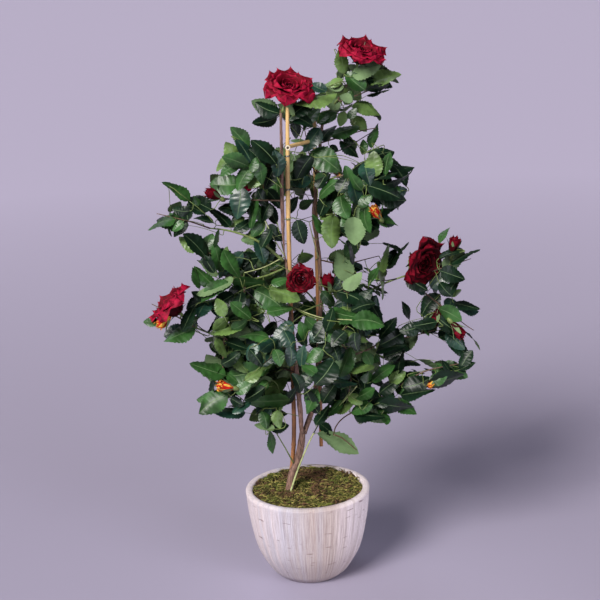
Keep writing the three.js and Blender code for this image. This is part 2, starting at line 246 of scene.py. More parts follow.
def limb_rings(node):
    """The middle and radius of each ring of a limb of the frame, from its foot to its tip."""
    points = np.array([v.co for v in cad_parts[node].data.vertices])
    foot = points[np.argmin(points[:, 2])]
    tip = points[np.argmax(np.linalg.norm(points - foot, axis=1))]
    axis = unit(tip - foot)
    place = (points - foot) @ axis
    order = np.argsort(place)
    breaks = np.nonzero(np.diff(place[order]) > RING_GAP)[0] + 1
    rings = [points[group] for group in np.split(order, breaks)]
    rings = [ring for ring in rings if len(ring) >= RING_POINTS]
    middles = np.array([ring.mean(0) for ring in rings])
    radii = np.array([np.linalg.norm(r - m, axis=1).mean() for r, m in zip(rings, middles)])
    return middles, radii


def limb_line(node, step):
    """A limb's centre line with a point about every step metres, and its radius at each point."""
    middles, radii = limb_rings(node)
    line = smooth_line(middles, step)
    nearest = np.linspace(0, len(radii) - 1, len(line))
    return line, np.interp(nearest, np.arange(len(radii)), radii)


# ----------------------------------------------------------
# Materials


class Finish:
    """A material in the making: its node tree and its one shader, whose constant values are set at once."""

    def __init__(self, name, colour, roughness, constants=None):
        self.material = bpy.data.materials.new(name)
        self.material.use_nodes = True
        self.tree = self.material.node_tree
        self.shader = self.tree.nodes["Principled BSDF"]
        self.shader.inputs["Base Color"].default_value = (*colour, 1.0)
        self.shader.inputs["Roughness"].default_value = roughness
        for socket, value in (constants or {}).items():
            self.shader.inputs[socket].default_value = value

    def node(self, kind, **inputs):
        """A node of that kind with its inputs, by name, set to values or linked from other nodes' outputs."""
        made = self.tree.nodes.new("ShaderNode" + kind)
        for name, value in inputs.items():
            socket = made.inputs[name.replace("_", " ")]
            if isinstance(value, bpy.types.NodeSocket):
                self.tree.links.new(value, socket)
            elif socket.type == "RGBA":
                socket.default_value = (*value, 1.0)
            else:
                socket.default_value = value
        return made

    def place(self):
        """Where each point of the surface lies."""
        return self.node("TexCoord").outputs["Object"]

    def stretched(self, scale, where=None):
        """Places, by default the surface's own, scaled by a different amount along each axis."""
        return self.node("Mapping", Vector=where or self.place(), Scale=scale).outputs["Vector"]

    def unrolled(self):
        """Places on a round wall laid flat, the angle round it as X and the height as Y.
        Its X, Y and Z follow."""
        parts = self.node("SeparateXYZ", Vector=self.place()).outputs
        turn = self.node("Math")
        turn.operation = "ARCTAN2"
        self.tree.links.new(parts["Y"], turn.inputs[0])
        self.tree.links.new(parts["X"], turn.inputs[1])
        return self.node("CombineXYZ", X=turn.outputs[0], Y=parts["Z"]).outputs["Vector"], parts

    def speckle(self, scale, detail=3.0, where=None, roughness=0.55):
        """Soft random patches from 0 to 1."""
        made = self.node("TexNoise", Vector=where or self.place(), Scale=scale, Detail=detail)
        made.inputs["Roughness"].default_value = roughness
        return made.outputs["Fac"]

    def blend(self, share, *stops):
        """A colour or value from stops of (place, colour), read at share."""
        ramp = self.node("ValToRGB", Fac=share)
        elements = ramp.color_ramp.elements
        while len(elements) < len(stops):
            elements.new(0.5)
        for element, (place, colour) in zip(elements, stops):
            element.position = place
            element.color = (*colour, 1.0)
        return ramp.outputs["Color"]

    def mottle(self, share, colour, low, high):
        """The surface's colour in patches, from stops of (place, how much lighter or darker) at share."""
        self.colour(self.blend(share, *((place, shade(colour, factor)) for place, factor in (low, high))))

    def mix(self, share, first, second, kind="MIX"):
        """Two colours mixed by share, or put together the way that kind says."""
        made = self.node("MixRGB", Fac=share, Color1=first, Color2=second)
        made.blend_type = kind
        return made.outputs["Color"]

    def ranged(self, value, low=0.0, high=1.0, to_low=0.0, to_high=1.0):
        """A value moved from the range low to high onto to_low to to_high, and held inside it."""
        made = self.node("MapRange", Value=value, From_Min=low, From_Max=high, To_Min=to_low, To_Max=to_high)
        return made.outputs["Result"]

    def colour(self, output):
        """Takes the surface's colour from an output."""
        self.tree.links.new(output, self.shader.inputs["Base Color"])

    def roughen(self, share, low, high):
        """Roughness that wanders between low and high with share."""
        spread = self.ranged(share, to_low=low, to_high=high)
        self.tree.links.new(spread, self.shader.inputs["Roughness"])

    def relief(self, height, strength, depth):
        """Fine relief too small for the mesh, depth metres deep."""
        bump = self.node("Bump", Height=height, Strength=strength, Distance=depth)
        self.tree.links.new(bump.outputs["Normal"], self.shader.inputs["Normal"])


def shade(colour, factor):
    """The colour made lighter or darker."""
    return tuple(min(1.0, c * factor) for c in colour)


WHITE = (1.0, 1.0, 1.0)
# How fine the marks in the wash are round the pot and up it, and how far the panels' tints and their painted
# light follow its width.
STREAK_SCALE = (150.0, 10.0, 1.0)
HAIRLINE_SCALE = (3.0, 150.0, 1.0)
PANEL_SCALE = (9.0, 1.6, 1.0)
PANEL_AND_PAINTED_LIGHT_REACH = 0.13
PANEL_DRIFT = 0.58
# Painted shade towards the pot's foot: how strong it is, and up to what height it reaches.
FOOT_PAINTED_SHADE = 0.45
FOOT_PAINTED_SHADE_HEIGHT = 0.13


def whitewash(wash, streak, stain, blue):
    """Matt whitewash brushed downwards over a ribbed wall, worn to bluish and beige panels in streaks, with
    painted light across it and painted shade towards its foot.
    """
    finish = Finish("whitewashed ribs", wash, 0.8)
    wall, parts = finish.unrolled()
    fine = finish.stretched(STREAK_SCALE, wall)
    patches = finish.speckle(1.0, 2.0, finish.stretched(PANEL_SCALE, wall))
    across = finish.ranged(parts["X"], -PANEL_AND_PAINTED_LIGHT_REACH, PANEL_AND_PAINTED_LIGHT_REACH)
    # The panels are partly real bluish and beige wash and partly painted light: paler at both sides and darker
    # in the middle of the pot.
    panels = finish.blend(
        finish.mix(PANEL_DRIFT, patches, across),
        (0.24, shade(wash, 1.15)), (0.37, blue), (0.49, shade(wash, 0.78)), (0.58, stain),
        (0.76, shade(wash, 1.3)),
    )
    # Painted shade: the wash turns to a darker stain colour towards the foot.
    low = finish.ranged(parts["Z"], high=FOOT_PAINTED_SHADE_HEIGHT, to_low=FOOT_PAINTED_SHADE, to_high=0.0)
    worn = finish.mix(low, panels, shade(stain, 0.75))
    streaks = finish.blend(finish.speckle(1.0, 6.0, fine, 0.8), (0.40, streak), (0.55, WHITE))
    level = finish.speckle(1.0, 2.0, finish.stretched(HAIRLINE_SCALE, wall))
    hairlines = finish.blend(level, (0.30, streak), (0.34, WHITE))
    for marks in (streaks, hairlines):
        worn = finish.mix(1.0, worn, marks, "MULTIPLY")
    finish.colour(worn)
    finish.relief(finish.speckle(1.0, 5.0, fine, 0.65), 0.6, 0.8 * MM)
    return finish.material


def rough_cast(colour):
    """Rough cast filling under the moss."""
    finish = Finish("rough cast", colour, 0.95)
    grain = finish.speckle(220.0, 6.0)
    finish.mottle(grain, colour, (0.3, 0.5), (0.7, 1.0))
    finish.relief(grain, 0.8, 1 * MM)
    return finish.material


def moss_fibre(name, colour):
    """Dry stringy moss of one tint."""
    finish = Finish(name, colour, 0.9, {"Specular IOR Level": 0.25})
    finish.mottle(finish.speckle(160.0, 4.0), colour, (0.3, 0.55), (0.7, 1.25))
    finish.relief(finish.speckle(1800.0), 0.4, 0.3 * MM)
    return finish.material


def stem_bark(name, colour):
    """Pinkish brown bark with dark furrows running up it."""
    finish = Finish(name, colour, 0.8, {"Specular IOR Level": 0.3})
    furrows = finish.speckle(1.0, 6.0, finish.stretched((520.0, 520.0, 60.0)), 0.65)
    finish.colour(
        finish.blend(furrows, (0.34, shade(colour, 0.2)), (0.5, colour), (0.68, shade(colour, 1.9)))
    )
    finish.roughen(furrows, 0.65, 0.95)
    finish.relief(furrows, 0.7, 0.8 * MM)
    return finish.material


def cane_skin(name, colour, warm):
    """Satin cane with fine fibres, warmer and darker towards its foot."""
    finish = Finish(name, colour, 0.42)
    fibres = finish.speckle(1.0, 4.0, finish.stretched((900.0, 900.0, 25.0)))
    height = finish.node("SeparateXYZ", Vector=finish.place()).outputs["Z"]
    rise = finish.ranged(height, CANE_WARM_BELOW, CANE_PALE_ABOVE)
    skin = finish.blend(fibres, (0.32, shade(colour, 0.72)), (0.6, colour))
    foot = finish.blend(fibres, (0.32, shade(warm, 0.6)), (0.6, warm))
    finish.colour(finish.mix(rise, foot, skin))
    finish.roughen(fibres, 0.34, 0.55)
    finish.relief(fibres, 0.35, 0.3 * MM)
    return finish.material


def twig_skin(name, colour):
    """Satin plastic sleeve of a twig, with slightly mottled colour."""
    finish = Finish(name, colour, 0.5)
    finish.mottle(finish.speckle(120.0, 4.0), colour, (0.35, 0.65), (0.65, 1.2))
    finish.relief(finish.speckle(900.0), 0.3, 0.2 * MM)
    return finish.material


def leaf_gloss(name, colour, gloss, shine):
    """The glossy upper face of a leaf, with that specular level."""
    finish = Finish(name, colour, gloss, {"Specular IOR Level": shine})
    finish.mottle(finish.speckle(30.0, 3.0), colour, (0.36, 0.55), (0.64, 1.5))
    finish.roughen(finish.speckle(60.0), gloss - 0.08, gloss + 0.12)
    finish.relief(finish.speckle(300.0, 2.0), 0.2, 0.3 * MM)
    return finish.material


def leaf_back(name, colour):
    """The pale matt underside of a leaf."""
    finish = Finish(name, colour, 0.7, {"Specular IOR Level": 0.35})
    finish.mottle(finish.speckle(40.0, 2.0), colour, (0.35, 0.85), (0.65, 1.15))
    finish.relief(finish.speckle(700.0, 3.0), 0.3, 0.3 * MM)
    return finish.material


def velvet(name, colour, sheen, tint):
    """Velvety petal cloth."""
    finish = Finish(name, colour, 0.62, {
        "Sheen Weight": sheen,
        "Sheen Roughness": 0.35,
        "Sheen Tint": (*tint, 1.0),
        "Specular IOR Level": 0.10,
    })
    finish.mottle(finish.speckle(90.0, 3.0), colour, (0.35, 0.55), (0.68, 1.35))
    finish.relief(finish.speckle(1500.0, 2.0), 0.25, 0.2 * MM)
    return finish.material


def drawn_wire(colour):
    """Thin tying wire."""
    finish = Finish("tying wire", colour, 0.35, {"Metallic": 1.0})
    finish.roughen(finish.speckle(300.0), 0.25, 0.45)
    return finish.material


def studio_floor(colour):
    """Plain matt studio floor, with painted light that makes it a little paler far from the pot."""
    finish = Finish("studio floor", colour, 0.9, {"Specular IOR Level": 0.15})
    distance = finish.node("VectorMath", Vector=finish.place())
    distance.operation = "LENGTH"
    away = finish.ranged(distance.outputs["Value"], FLOOR_PAINTED_LIGHT_START, FLOOR_PAINTED_LIGHT_END)
    finish.mottle(away, colour, (0.0, 1.0), (1.0, FLOOR_PAINTED_LIGHT_GAIN))
    return finish.material


# ----------------------------------------------------------
# Pot and moss

POT_PROFILE_STEP = 5 * MM
RIM_ROUND = 4 * MM
RIM_ARC = 7
INNER_WALL = (6 * MM, 24 * MM)
INNER_ROWS = 4
RIB_WAVES = ((73, 0.20), (113, 0.26), (157, 0.28), (199, 0.26))
RIB_FADE = 14 * MM
RIB_WANDER, RIB_BENDS = 0.6, 31.0
MOSS_PLAY = 1.5 * MM
MOSS_RINGS = 46
MOSS_SIDES = 160
MOSS_LIFT = 6 * MM
MOSS_HEAP = 5 * MM
MOSS_TUCK = 1 * MM
MOSS_SINK = 3 * MM
MOSS_FALL, MOSS_FALL_WIDTH = 5 * MM, 0.1
MOSS_TINTS = ("brown", "olive", "yellow", "green")
STRAND_STEPS = 3
STRAND_TAPER = np.array([1.0, 0.9, 0.7, 0.25])


def pot_profile():
    """Radius and height of the pot's outer wall, from its foot to just under the rim, off the frame's pot."""
    points = np.array([v.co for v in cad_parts["pot"].data.vertices])
    reach = np.hypot(points[:, 0], points[:, 1])
    levels = {}
    for radius, height in zip(reach, points[:, 2]):
        key = round(float(height), 4)
        levels[key] = max(levels.get(key, 0.0), float(radius))
    top = max(levels)
    profile = []
    for height in sorted(levels):
        if height <= top - RIM_ROUND + 0.5 * MM and (not profile or levels[height] > profile[-1][0]):
            profile.append((levels[height], height))
    return profile, top


def wall_thickness():
    """The thickness of the pot's wall at its mouth, off the frame."""
    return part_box("pot")[1].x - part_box("moss")[1].x - MOSS_PLAY


def pot_section():
    """The wall's section: radius and height of each row, up the outside, over the rim and down the inside,
    with how many of the rows are outside. Then the height of the rim."""
    profile, top = pot_profile()
    line = smooth_line([(radius, 0.0, height) for radius, height in profile], POT_PROFILE_STEP)
    outside = [(x, z) for x, _, z in line]
    wall = wall_thickness()
    mouth, low = outside[-1]
    middle = mouth - wall / 2
    arc = np.linspace(0, math.pi, RIM_ARC)
    rim = [(middle + wall / 2 * math.cos(a), low + (top - low) * math.sin(a)) for a in arc]
    inside = [(mouth - wall, low - drop) for drop in np.linspace(*INNER_WALL, INNER_ROWS)]
    return np.array([*outside, *rim, *inside]), len(outside), top


def pot_wall(ribs, depth):
    """The pot's wall as rows of points round it, with fine upright ribs on the outside."""
    section, outside, top = pot_section()
    angle = np.arange(ribs) * (2 * math.pi / ribs)
    grain = np.zeros((len(section), ribs))
    for row, height in enumerate(section[:outside, 1]):
        for waves, share in RIB_WAVES:
            drift = RIB_WANDER * math.sin(height * RIB_BENDS + waves)
            grain[row] += share * np.sin(waves * angle + waves * waves + drift)
        grain[row] *= depth * min(1.0, max(0.0, (top - height - RIM_ROUND) / RIB_FADE))
    radius = section[:, :1] + grain
    height = np.repeat(section[:, 1:], ribs, 1)
    return np.stack([radius * np.cos(angle), radius * np.sin(angle), height], -1)


def build_pot(settings):
    """The whole pot: ribbed outside, round rim, inner wall down behind the moss, and flat underside."""
    heap = Heap()
    points = pot_wall(settings.ribs, settings.rib_depth)
    rows, ribs = points.shape[:2]
    foot = fan(0, ribs, rows * ribs, flip=True)
    floor = fan((rows - 1) * ribs, ribs, rows * ribs + 1)
    ends = [(0.0, 0.0, 0.0), (0.0, 0.0, float(points[-1, 0, 2]))]
    everything = np.concatenate([points.reshape(-1, 3), ends])
    heap.add(everything, grid_faces(rows, ribs, closed=True), foot, floor)
    wash = whitewash(settings.wash, settings.streak, settings.stain, settings.blue)
    add_piece("pot_body", heap, [wash], ["pot"])
    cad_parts["pot_filling"].material_slots[0].material = rough_cast(settings.cast)


def moss_height(x, y, top):
    """How high the moss lies at x, y: lumpy, and heaped a little towards the back."""
    lumps = noise.fractal(Vector((x * 52, y * 52, 2.0)), 0.8, 2.0, 4)
    return top + MOSS_LIFT * lumps + MOSS_HEAP * min(1.0, max(0.0, y / 0.1))


def moss_bed(reach, level, foot):
    """The lumpy cake of moss, closed at its foot, as a heap."""
    heap = Heap()
    points = []
    for ring in range(1, MOSS_RINGS + 1):
        radius = reach * ring / MOSS_RINGS
        for side in range(MOSS_SIDES):
            turn = 2 * math.pi * side / MOSS_SIDES
            x, y = radius * math.cos(turn), radius * math.sin(turn)
            edge = max(0.0, (ring / MOSS_RINGS - (1 - MOSS_FALL_WIDTH)) / MOSS_FALL_WIDTH)
            points.append((x, y, moss_height(x, y, level) - MOSS_FALL * edge ** 2))
    count = len(points)
    points += [(0.0, 0.0, moss_height(0, 0, level)), (0.0, 0.0, foot)]
    bed = grid_faces(MOSS_RINGS, MOSS_SIDES, closed=True, flip=True)
    top = fan(0, MOSS_SIDES, count)
    under = fan(count - MOSS_SIDES, MOSS_SIDES, count + 1, flip=True)
    heap.add(points, bed, top, under)
    return heap


def add_strand(heap, rng, reach, level, length):
    """One bent moss strand, thickest at its root, of a tint that changes from patch to patch of the bed."""
    radius = (reach - 2 * MM) * math.sqrt(rng.random())
    turn = rng.uniform(0, 2 * math.pi)
    x, y = radius * math.cos(turn), radius * math.sin(turn)
    patch = 1.3 * noise.noise(Vector((x * 20, y * 20, 7.0))) + rng.uniform(-0.6, 0.6)
    finish = min(len(MOSS_TINTS) - 1, max(0, int((patch + 0.75) * 2.6)))
    heading = rng.uniform(0, 2 * math.pi)
    bend = rng.uniform(-1.4, 1.4)
    rise = rng.uniform(0.1, 0.75)
    long = length * rng.uniform(0.5, 1.25)
    point = np.array([x, y, moss_height(x, y, level) - 1 * MM])
    line = [point]
    for step in range(STRAND_STEPS):
        way = heading + bend * step / STRAND_STEPS
        climb = rise - 0.55 * step
        point = point + long / STRAND_STEPS * unit(np.array([math.cos(way), math.sin(way), climb]))
        spread = math.hypot(point[0], point[1])
        point[:2] *= min(1.0, (reach - 0.5 * MM) / spread)
        line.append(point)
    thick = rng.uniform(0.6, 1.5) * MM
    tube(heap, line, thick * STRAND_TAPER, 3, finish=finish)


def build_moss(settings):
    """A lumpy moss bed, and loose moss strands lying over it."""
    low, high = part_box("moss")
    reach = high.x + MOSS_TUCK
    level = high.z - MOSS_SINK
    rng = random.Random(settings.seed)
    fibres = [moss_fibre(f"moss {tint}", getattr(settings, tint)) for tint in MOSS_TINTS]
    shaded = moss_fibre("moss shade", settings.shade)
    add_piece("moss_bed", moss_bed(reach, level, low.z), [shaded], ["moss"])
    strands = Heap()
    for _ in range(settings.strands):
        add_strand(strands, rng, reach, level, settings.strand_length)
    add_piece("moss_strands", strands, fibres)


# ----------------------------------------------------------
# Trunk, stems and canes

STEMS = ("trunk", "left_stem", "right_stem")
CANES = ("left_cane", "right_cane")
RUNG = "cane_rung"
CANE_WARM_BELOW = 0.62
CANE_PALE_ABOVE = 0.86
CANE_NODES = {"left_cane": (0.304, 0.445, 0.706, 0.826), "right_cane": (0.39, 0.575, 0.76, 0.93)}
CANE_TIES = {"left_cane": (0.8265, 0.889, 0.960), "right_cane": (0.855, 0.965)}
RUNG_ELBOW = ((0.0, -4 * MM, 0.0), (0.0, -12 * MM, 0.0))
RUNG_LIP = ((0.0, 0.0, 0.0), (0.0, -5 * MM, 0.0))
RUNG_LIP_PROUD = 1.2 * MM
RUNG_PAINTED_HOLE_SHADE = ((0.0, -1.5 * MM, 0.0), (0.0, -4 * MM, 0.0))
CANE_STEP = 3 * MM
CANE_SIDES = 20
CANE_HOLLOW = 6 * MM
CROSS_WIRES = ((0.883, 0.855), (0.813, 0.814))
CANE_NODE_SWELL = 0.9 * MM
CANE_NODE_WIDTH = 2.2 * MM
BARK_STEP = 2.2 * MM
BARK_SIDES = 28
BARK_SHARE = 0.9
WIRE_RADIUS = 0.55 * MM
WIRE_SIDES = 6
TIE_TURNS = 3
TIE_POINTS = 18


def bark_relief(depth, seed):
    """Ridges, furrows and knots of bark, as a function of the angle round a stem and the height along it."""

    def relief(angle, height):
        out = np.zeros(np.broadcast_shapes(angle.shape, height.shape))
        for row in range(out.shape[0]):
            z = float(height[row, 0])
            for column in range(out.shape[1]):
                a = float(angle[0, column])
                where = Vector((math.cos(a) * 2.6 + seed, math.sin(a) * 2.6, z * 46))
                lump = Vector((math.cos(a) * 0.9, math.sin(a) * 0.9 + seed, z * 17))
                out[row, column] = 0.55 * noise.fractal(where, 0.8, 2.0, 3) + 0.8 * noise.noise(lump)
        return out * depth

    return relief


def build_stems(settings):
    """Trunk and the two woody stems, with the relief of their bark."""
    heap = Heap()
    for seed, node in enumerate(STEMS):
        line, radii = limb_line(node, BARK_STEP)
        tube(heap, line, radii * BARK_SHARE, BARK_SIDES, bark_relief(settings.bark_relief, 5.0 * seed))
    add_piece("stem_bark", heap, [stem_bark("stem bark", settings.bark)], STEMS)


def cane_radius(line, radii, nodes):
    """A cane's radius along its line, swollen at its nodes."""
    height = line[:, 2]
    swell = sum(np.exp(-((height - at) / CANE_NODE_WIDTH) ** 2) for at in nodes)
    return radii + CANE_NODE_SWELL * swell


def at_height(line, height):
    """Which point of a line lies nearest to a height."""
    return int(np.argmin(np.abs(line[:, 2] - height)))


def add_tie(heap, centre, axis, radius):
    """A few turns of wire round a cane."""
    axis = unit(axis)
    side = unit(np.cross(axis, (0.2, 1.0, 0.1)))
    other = np.cross(axis, side)
    angle = np.linspace(0, 2 * math.pi * TIE_TURNS, TIE_POINTS * TIE_TURNS)
    rise = (angle / (2 * math.pi) - TIE_TURNS / 2) * 2.2 * WIRE_RADIUS
    ring = np.cos(angle)[:, None] * side + np.sin(angle)[:, None] * other
    line = centre + ring * (radius + WIRE_RADIUS * 0.7) + rise[:, None] * axis
    tube(heap, line, WIRE_RADIUS, WIRE_SIDES)


def rung_heap():
    """The rung, bent forwards at its end, where it has a pale cut lip round a dark plug that paints the shade
    in its hollow.
    """
    heap = Heap()
    line, radii = limb_line(RUNG, CANE_STEP)
    if line[0, 0] < line[-1, 0]:
        line = line[::-1]
    line = smooth_line([*line[:-2:3], *(line[-1] + np.array(RUNG_ELBOW))], 2 * MM)
    tube(heap, line, radii.mean(), CANE_SIDES)
    lip = smooth_line(line[-1] + np.array(RUNG_LIP), 1 * MM)
    lip_radius = radii.mean() + RUNG_LIP_PROUD
    tube(heap, lip, lip_radius, CANE_SIDES, finish=1, hollow=4 * MM)
    # Painted shade: a dark plug in the hollow end stands for the shade inside it.
    pith = smooth_line(line[-1] + np.array(RUNG_PAINTED_HOLE_SHADE), 1 * MM)
    tube(heap, pith, lip_radius * HOLLOW_SHARE, CANE_SIDES, finish=2)
    return heap


def build_canes(settings):
    """Two canes with their nodes and hollow ends, the rung between them, and the wire that ties them."""
    skin = cane_skin("cane skin", settings.cane, settings.cane_foot)
    heap = Heap()
    ties = Heap()
    lines = {}
    for node in CANES:
        line, radii = limb_line(node, CANE_STEP)
        lines[node] = line
        tube(heap, line, cane_radius(line, radii, CANE_NODES[node]), CANE_SIDES, hollow=CANE_HOLLOW)
        for height in CANE_TIES[node]:
            at = at_height(line, height)
            add_tie(ties, line[at], line[at + 1] - line[at], radii[at])
    for heights in CROSS_WIRES:
        ends = [lines[node][at_height(lines[node], height)] for node, height in zip(CANES, heights)]
        tube(ties, ends, WIRE_RADIUS * 1.3, WIRE_SIDES)
    add_piece("canes", heap, [skin], CANES)
    cut = cane_skin("cane cut", settings.cane_cut, settings.cane_cut)
    # The dark plug's material paints the shade in the rung's hollow end.
    pith = cane_skin("cane pith", settings.pith, settings.pith)
    add_piece("cane_rung_cut", rung_heap(), [skin, cut, pith], [RUNG])
    add_piece("cane_ties", ties, [drawn_wire(settings.wire)])


# ----------------------------------------------------------
# Growth

MASSES = tuple(sorted(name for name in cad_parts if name.endswith("_foliage")))
FIXED = (*STEMS, *CANES, RUNG, "pot", "pot_filling", "moss")
BOUGHS = tuple(sorted(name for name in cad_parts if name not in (*MASSES, *FIXED)))
LEAF_SHAPE = 0.70
NEAREST_VIEW, FURTHEST_VIEW = 2.3, 3.3
VIEW_STEP = 0.02
CROWN_MIDDLE = (0.01, 0.0, 0.70)
TIP_SET_BACK = 0.28
FOOT_HANDLE = 30 * MM
TIP_HANDLE = 18 * MM
SPRAY_REACH = 120 * MM
COVER_MARGIN = 4.0
GUARD_MARGIN = 1.5
SEEN_LONGER, SEEN_WIDER = 0.05, 1.14
PAINTED_SHADE_SIDE = 0.085
SHADED_DEPTH = 28 * MM
PAINTED_LIGHT_TOP = 0.91
LEAF_TONES = ("deep", "mid", "blue", "fresh", "pale")
DEEP, MID, BLUE, FRESH, PALE = LEAF_TONES
# Shares of the leaf tones, in that order: in painted shade on the right side and deep inside, in painted light
# at the top, and elsewhere.
SHADED_SHARES = (70, 18, 8, 2, 2)
PAINTED_LIGHT_SHARES = (6, 34, 10, 30, 20)
OPEN_SHARES = (30, 30, 18, 14, 8)
SCREEN_LEAVES, SCREEN_REACH = 18, 1.1
SEEN_SPACING = 0.6
SPRAY_TURNS = 7
TIP_PROUD = 16 * MM
BLOOM_SHOWN = 0.75
LIMB_MARGIN = 2.0
# The places of a leaflet that are tested against the view: shares of its length, and of its width aside.
TEST_ALONG = np.array([0.0, 0.35, 0.7, 1.0, 0.5, 0.5])
TEST_ASIDE = np.array([0.0, 0.0, 0.0, 0.0, -0.4, 0.4])
# Parts of the picture where the crown shows no sky: two ends and half the width of each.
CLOSED_PATCHES = (
    (325, 102, 348, 126, 12),
    (240, 160, 270, 182, 20), (250, 196, 274, 214, 14),
    (306, 162, 316, 204, 12),
    (338, 168, 350, 222, 15), (360, 182, 384, 204, 13),
    (216, 286, 246, 298, 9), (252, 264, 282, 288, 14),
    (226, 346, 284, 364, 18), (228, 390, 288, 400, 13),
    (290, 334, 352, 346, 20), (302, 370, 344, 384, 18),
    (330, 306, 368, 320, 12), (386, 336, 430, 328, 7),
    (350, 390, 398, 398, 13), (402, 380, 438, 378, 9),
    (224, 168, 238, 168, 4), (262, 206, 276, 222, 9), (262, 232, 270, 246, 6), (302, 110, 320, 134, 8),
    (322, 124, 336, 138, 6), (322, 176, 328, 214, 8), (262, 308, 290, 312, 5), (296, 312, 316, 322, 7),
    (326, 306, 334, 326, 6), (226, 344, 246, 346, 6), (246, 390, 266, 398, 8), (322, 386, 336, 402, 7),
    (303, 388, 306, 410, 5), (312, 405, 318, 425, 4), (328, 402, 350, 410, 6), (372, 372, 398, 392, 8),
    (382, 349, 404, 346, 4), (352, 308, 372, 306, 6), (446, 280, 456, 288, 4), (400, 350, 402, 372, 4),
)
BOUGH_TONES = {
    "green_shoot": "pale", "low_right_twig": "brown", "right_low_bough": "brown",
    "right_outer_bough": "brown",
}
SHOWN_BOUGHS = ("green_shoot", "left_arm_bough", "right_low_bough", "low_left_twig", "low_right_twig")
# Picture places of root and tip, the tone, and how far behind the crown's front the tip lies.
SHOWN_TWIGS = (
    (285, 258, 265, 221, "pale", 12 * MM),
    (285, 256, 277, 222, "green", 12 * MM),
    (285, 258, 244, 273, "pale", 10 * MM),
    (274, 328, 243, 288, "dark", 20 * MM),
    (209, 334, 196, 324, "dark", 20 * MM),
    (394, 275, 371, 280, "dark", 25 * MM),
    (318, 423, 350, 392, "green", 15 * MM),
    (321, 420, 357, 386, "pale", 20 * MM),
    (310, 430, 338, 380, "dark", 40 * MM),
    (311, 262, 309, 222, "pale", 20 * MM),
    (298, 306, 352, 320, "pale", 4 * MM),
    (296, 305, 340, 322, "green", 4 * MM),
    (318, 158, 372, 132, "dark", 25 * MM),
)


@dataclasses.dataclass(eq=False)
class Leaflet:
    """One leaflet: its base and tip, the way its upper face looks, its width, tone, and bend in radians."""

    base: np.ndarray
    tip: np.ndarray
    normal: np.ndarray
    width: float
    tone: str
    bend: float = 0.4


@functools.lru_cache(None)
def surface(*nodes):
    """The joined surface of some nodes of the frame, to cast rays at and find near places on."""
    points, faces = [], []
    for node in nodes:
        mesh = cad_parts[node].data
        start = len(points)
        points += [v.co.copy() for v in mesh.vertices]
        faces += [[start + i for i in polygon.vertices] for polygon in mesh.polygons]
    return BVHTree.FromPolygons(points, faces)


def in_crown(x, y, inset):
    """The point inset metres behind the crown's front at picture place x, y, or level with a mass near it."""
    crown = surface(*MASSES)
    ray = sight(x, y).normalized()
    hit = crown.ray_cast(CAMERA_AT, ray)[0]
    if hit is None:
        steps = np.arange(NEAREST_VIEW, FURTHEST_VIEW, VIEW_STEP)
        return min((CAMERA_AT + ray * s for s in steps), key=lambda p: crown.find_nearest(p)[3])
    return hit + ray * inset


def outside_by(point, *nodes):
    """How far a point lies outside the joined surface of some nodes, below zero inside it."""
    place, normal, _, distance = surface(*nodes).find_nearest(Vector(point))
    return distance if (Vector(point) - place).dot(normal) > 0 else -distance


def outward(point):
    """The level way out from the crown's middle to a point, not yet at length one."""
    return np.array([point[0] - CROWN_MIDDLE[0], point[1] - CROWN_MIDDLE[1], 0.0])


def scatter(rng, spread):
    """A random offset, each part of it spread that far."""
    return np.array([rng.gauss(0, spread) for _ in range(3)])


class Growth:
    """The twigs and leaflets grown so far, and the places that a new twig may leave from."""

    def __init__(self, rng):
        self.rng = rng
        self.twigs = []
        self.leaflets = []
        self.starts = np.zeros((0, 3))
        self.headings = np.zeros((0, 3))

    def add_start(self, line):
        """Lets new twigs leave from every point of a line."""
        line = np.asarray(line, float)
        self.starts = np.concatenate([self.starts, line])
        self.headings = np.concatenate([self.headings, unit(np.gradient(line, axis=0))])

    def nearest_start(self, end):
        """The place that a twig to end leaves from: near it, and nearer than it to the crown's middle."""
        away = np.linalg.norm(self.starts - end, axis=1)
        reach = np.hypot(self.starts[:, 0] - CROWN_MIDDLE[0], self.starts[:, 1] - CROWN_MIDDLE[1])
        inward = reach - math.hypot(end[0] - CROWN_MIDDLE[0], end[1] - CROWN_MIDDLE[1])
        return int(np.argmin(away + 0.8 * np.maximum(0.0, inward)))

    def sprout(self, end, heading, foot, tip, tone, droop=0.0):
        """Grows a twig to end, which it reaches along heading, from the nearest place it can leave."""
        end = np.asarray(end, float)
        at = self.nearest_start(end)
        start = self.starts[at]
        length = float(np.linalg.norm(end - start))
        if length < 1 * MM:
            return np.array([start, end])
        leave = unit(unit(end - start) + 0.5 * self.headings[at] * np.sign(self.headings[at] @ (end - start)))
        first = start + leave * min(length * 0.35, FOOT_HANDLE)
        last = end - unit(np.asarray(heading, float)) * min(length * 0.33, TIP_HANDLE)
        t = np.linspace(0, 1, max(4, round(length / (9 * MM))))[:, None]
        line = (1 - t) ** 3 * start + 3 * (1 - t) ** 2 * t * first
        line = line + 3 * (1 - t) * t ** 2 * last + t ** 3 * end
        line[:, 2] -= (droop * length * np.sin(math.pi * t))[:, 0]
        for point in line[1:-1]:
            point += scatter(self.rng, 0.012) * length * 0.5
        self.twigs.append((line, foot, tip, tone))
        self.add_start(line[1:])
        return line
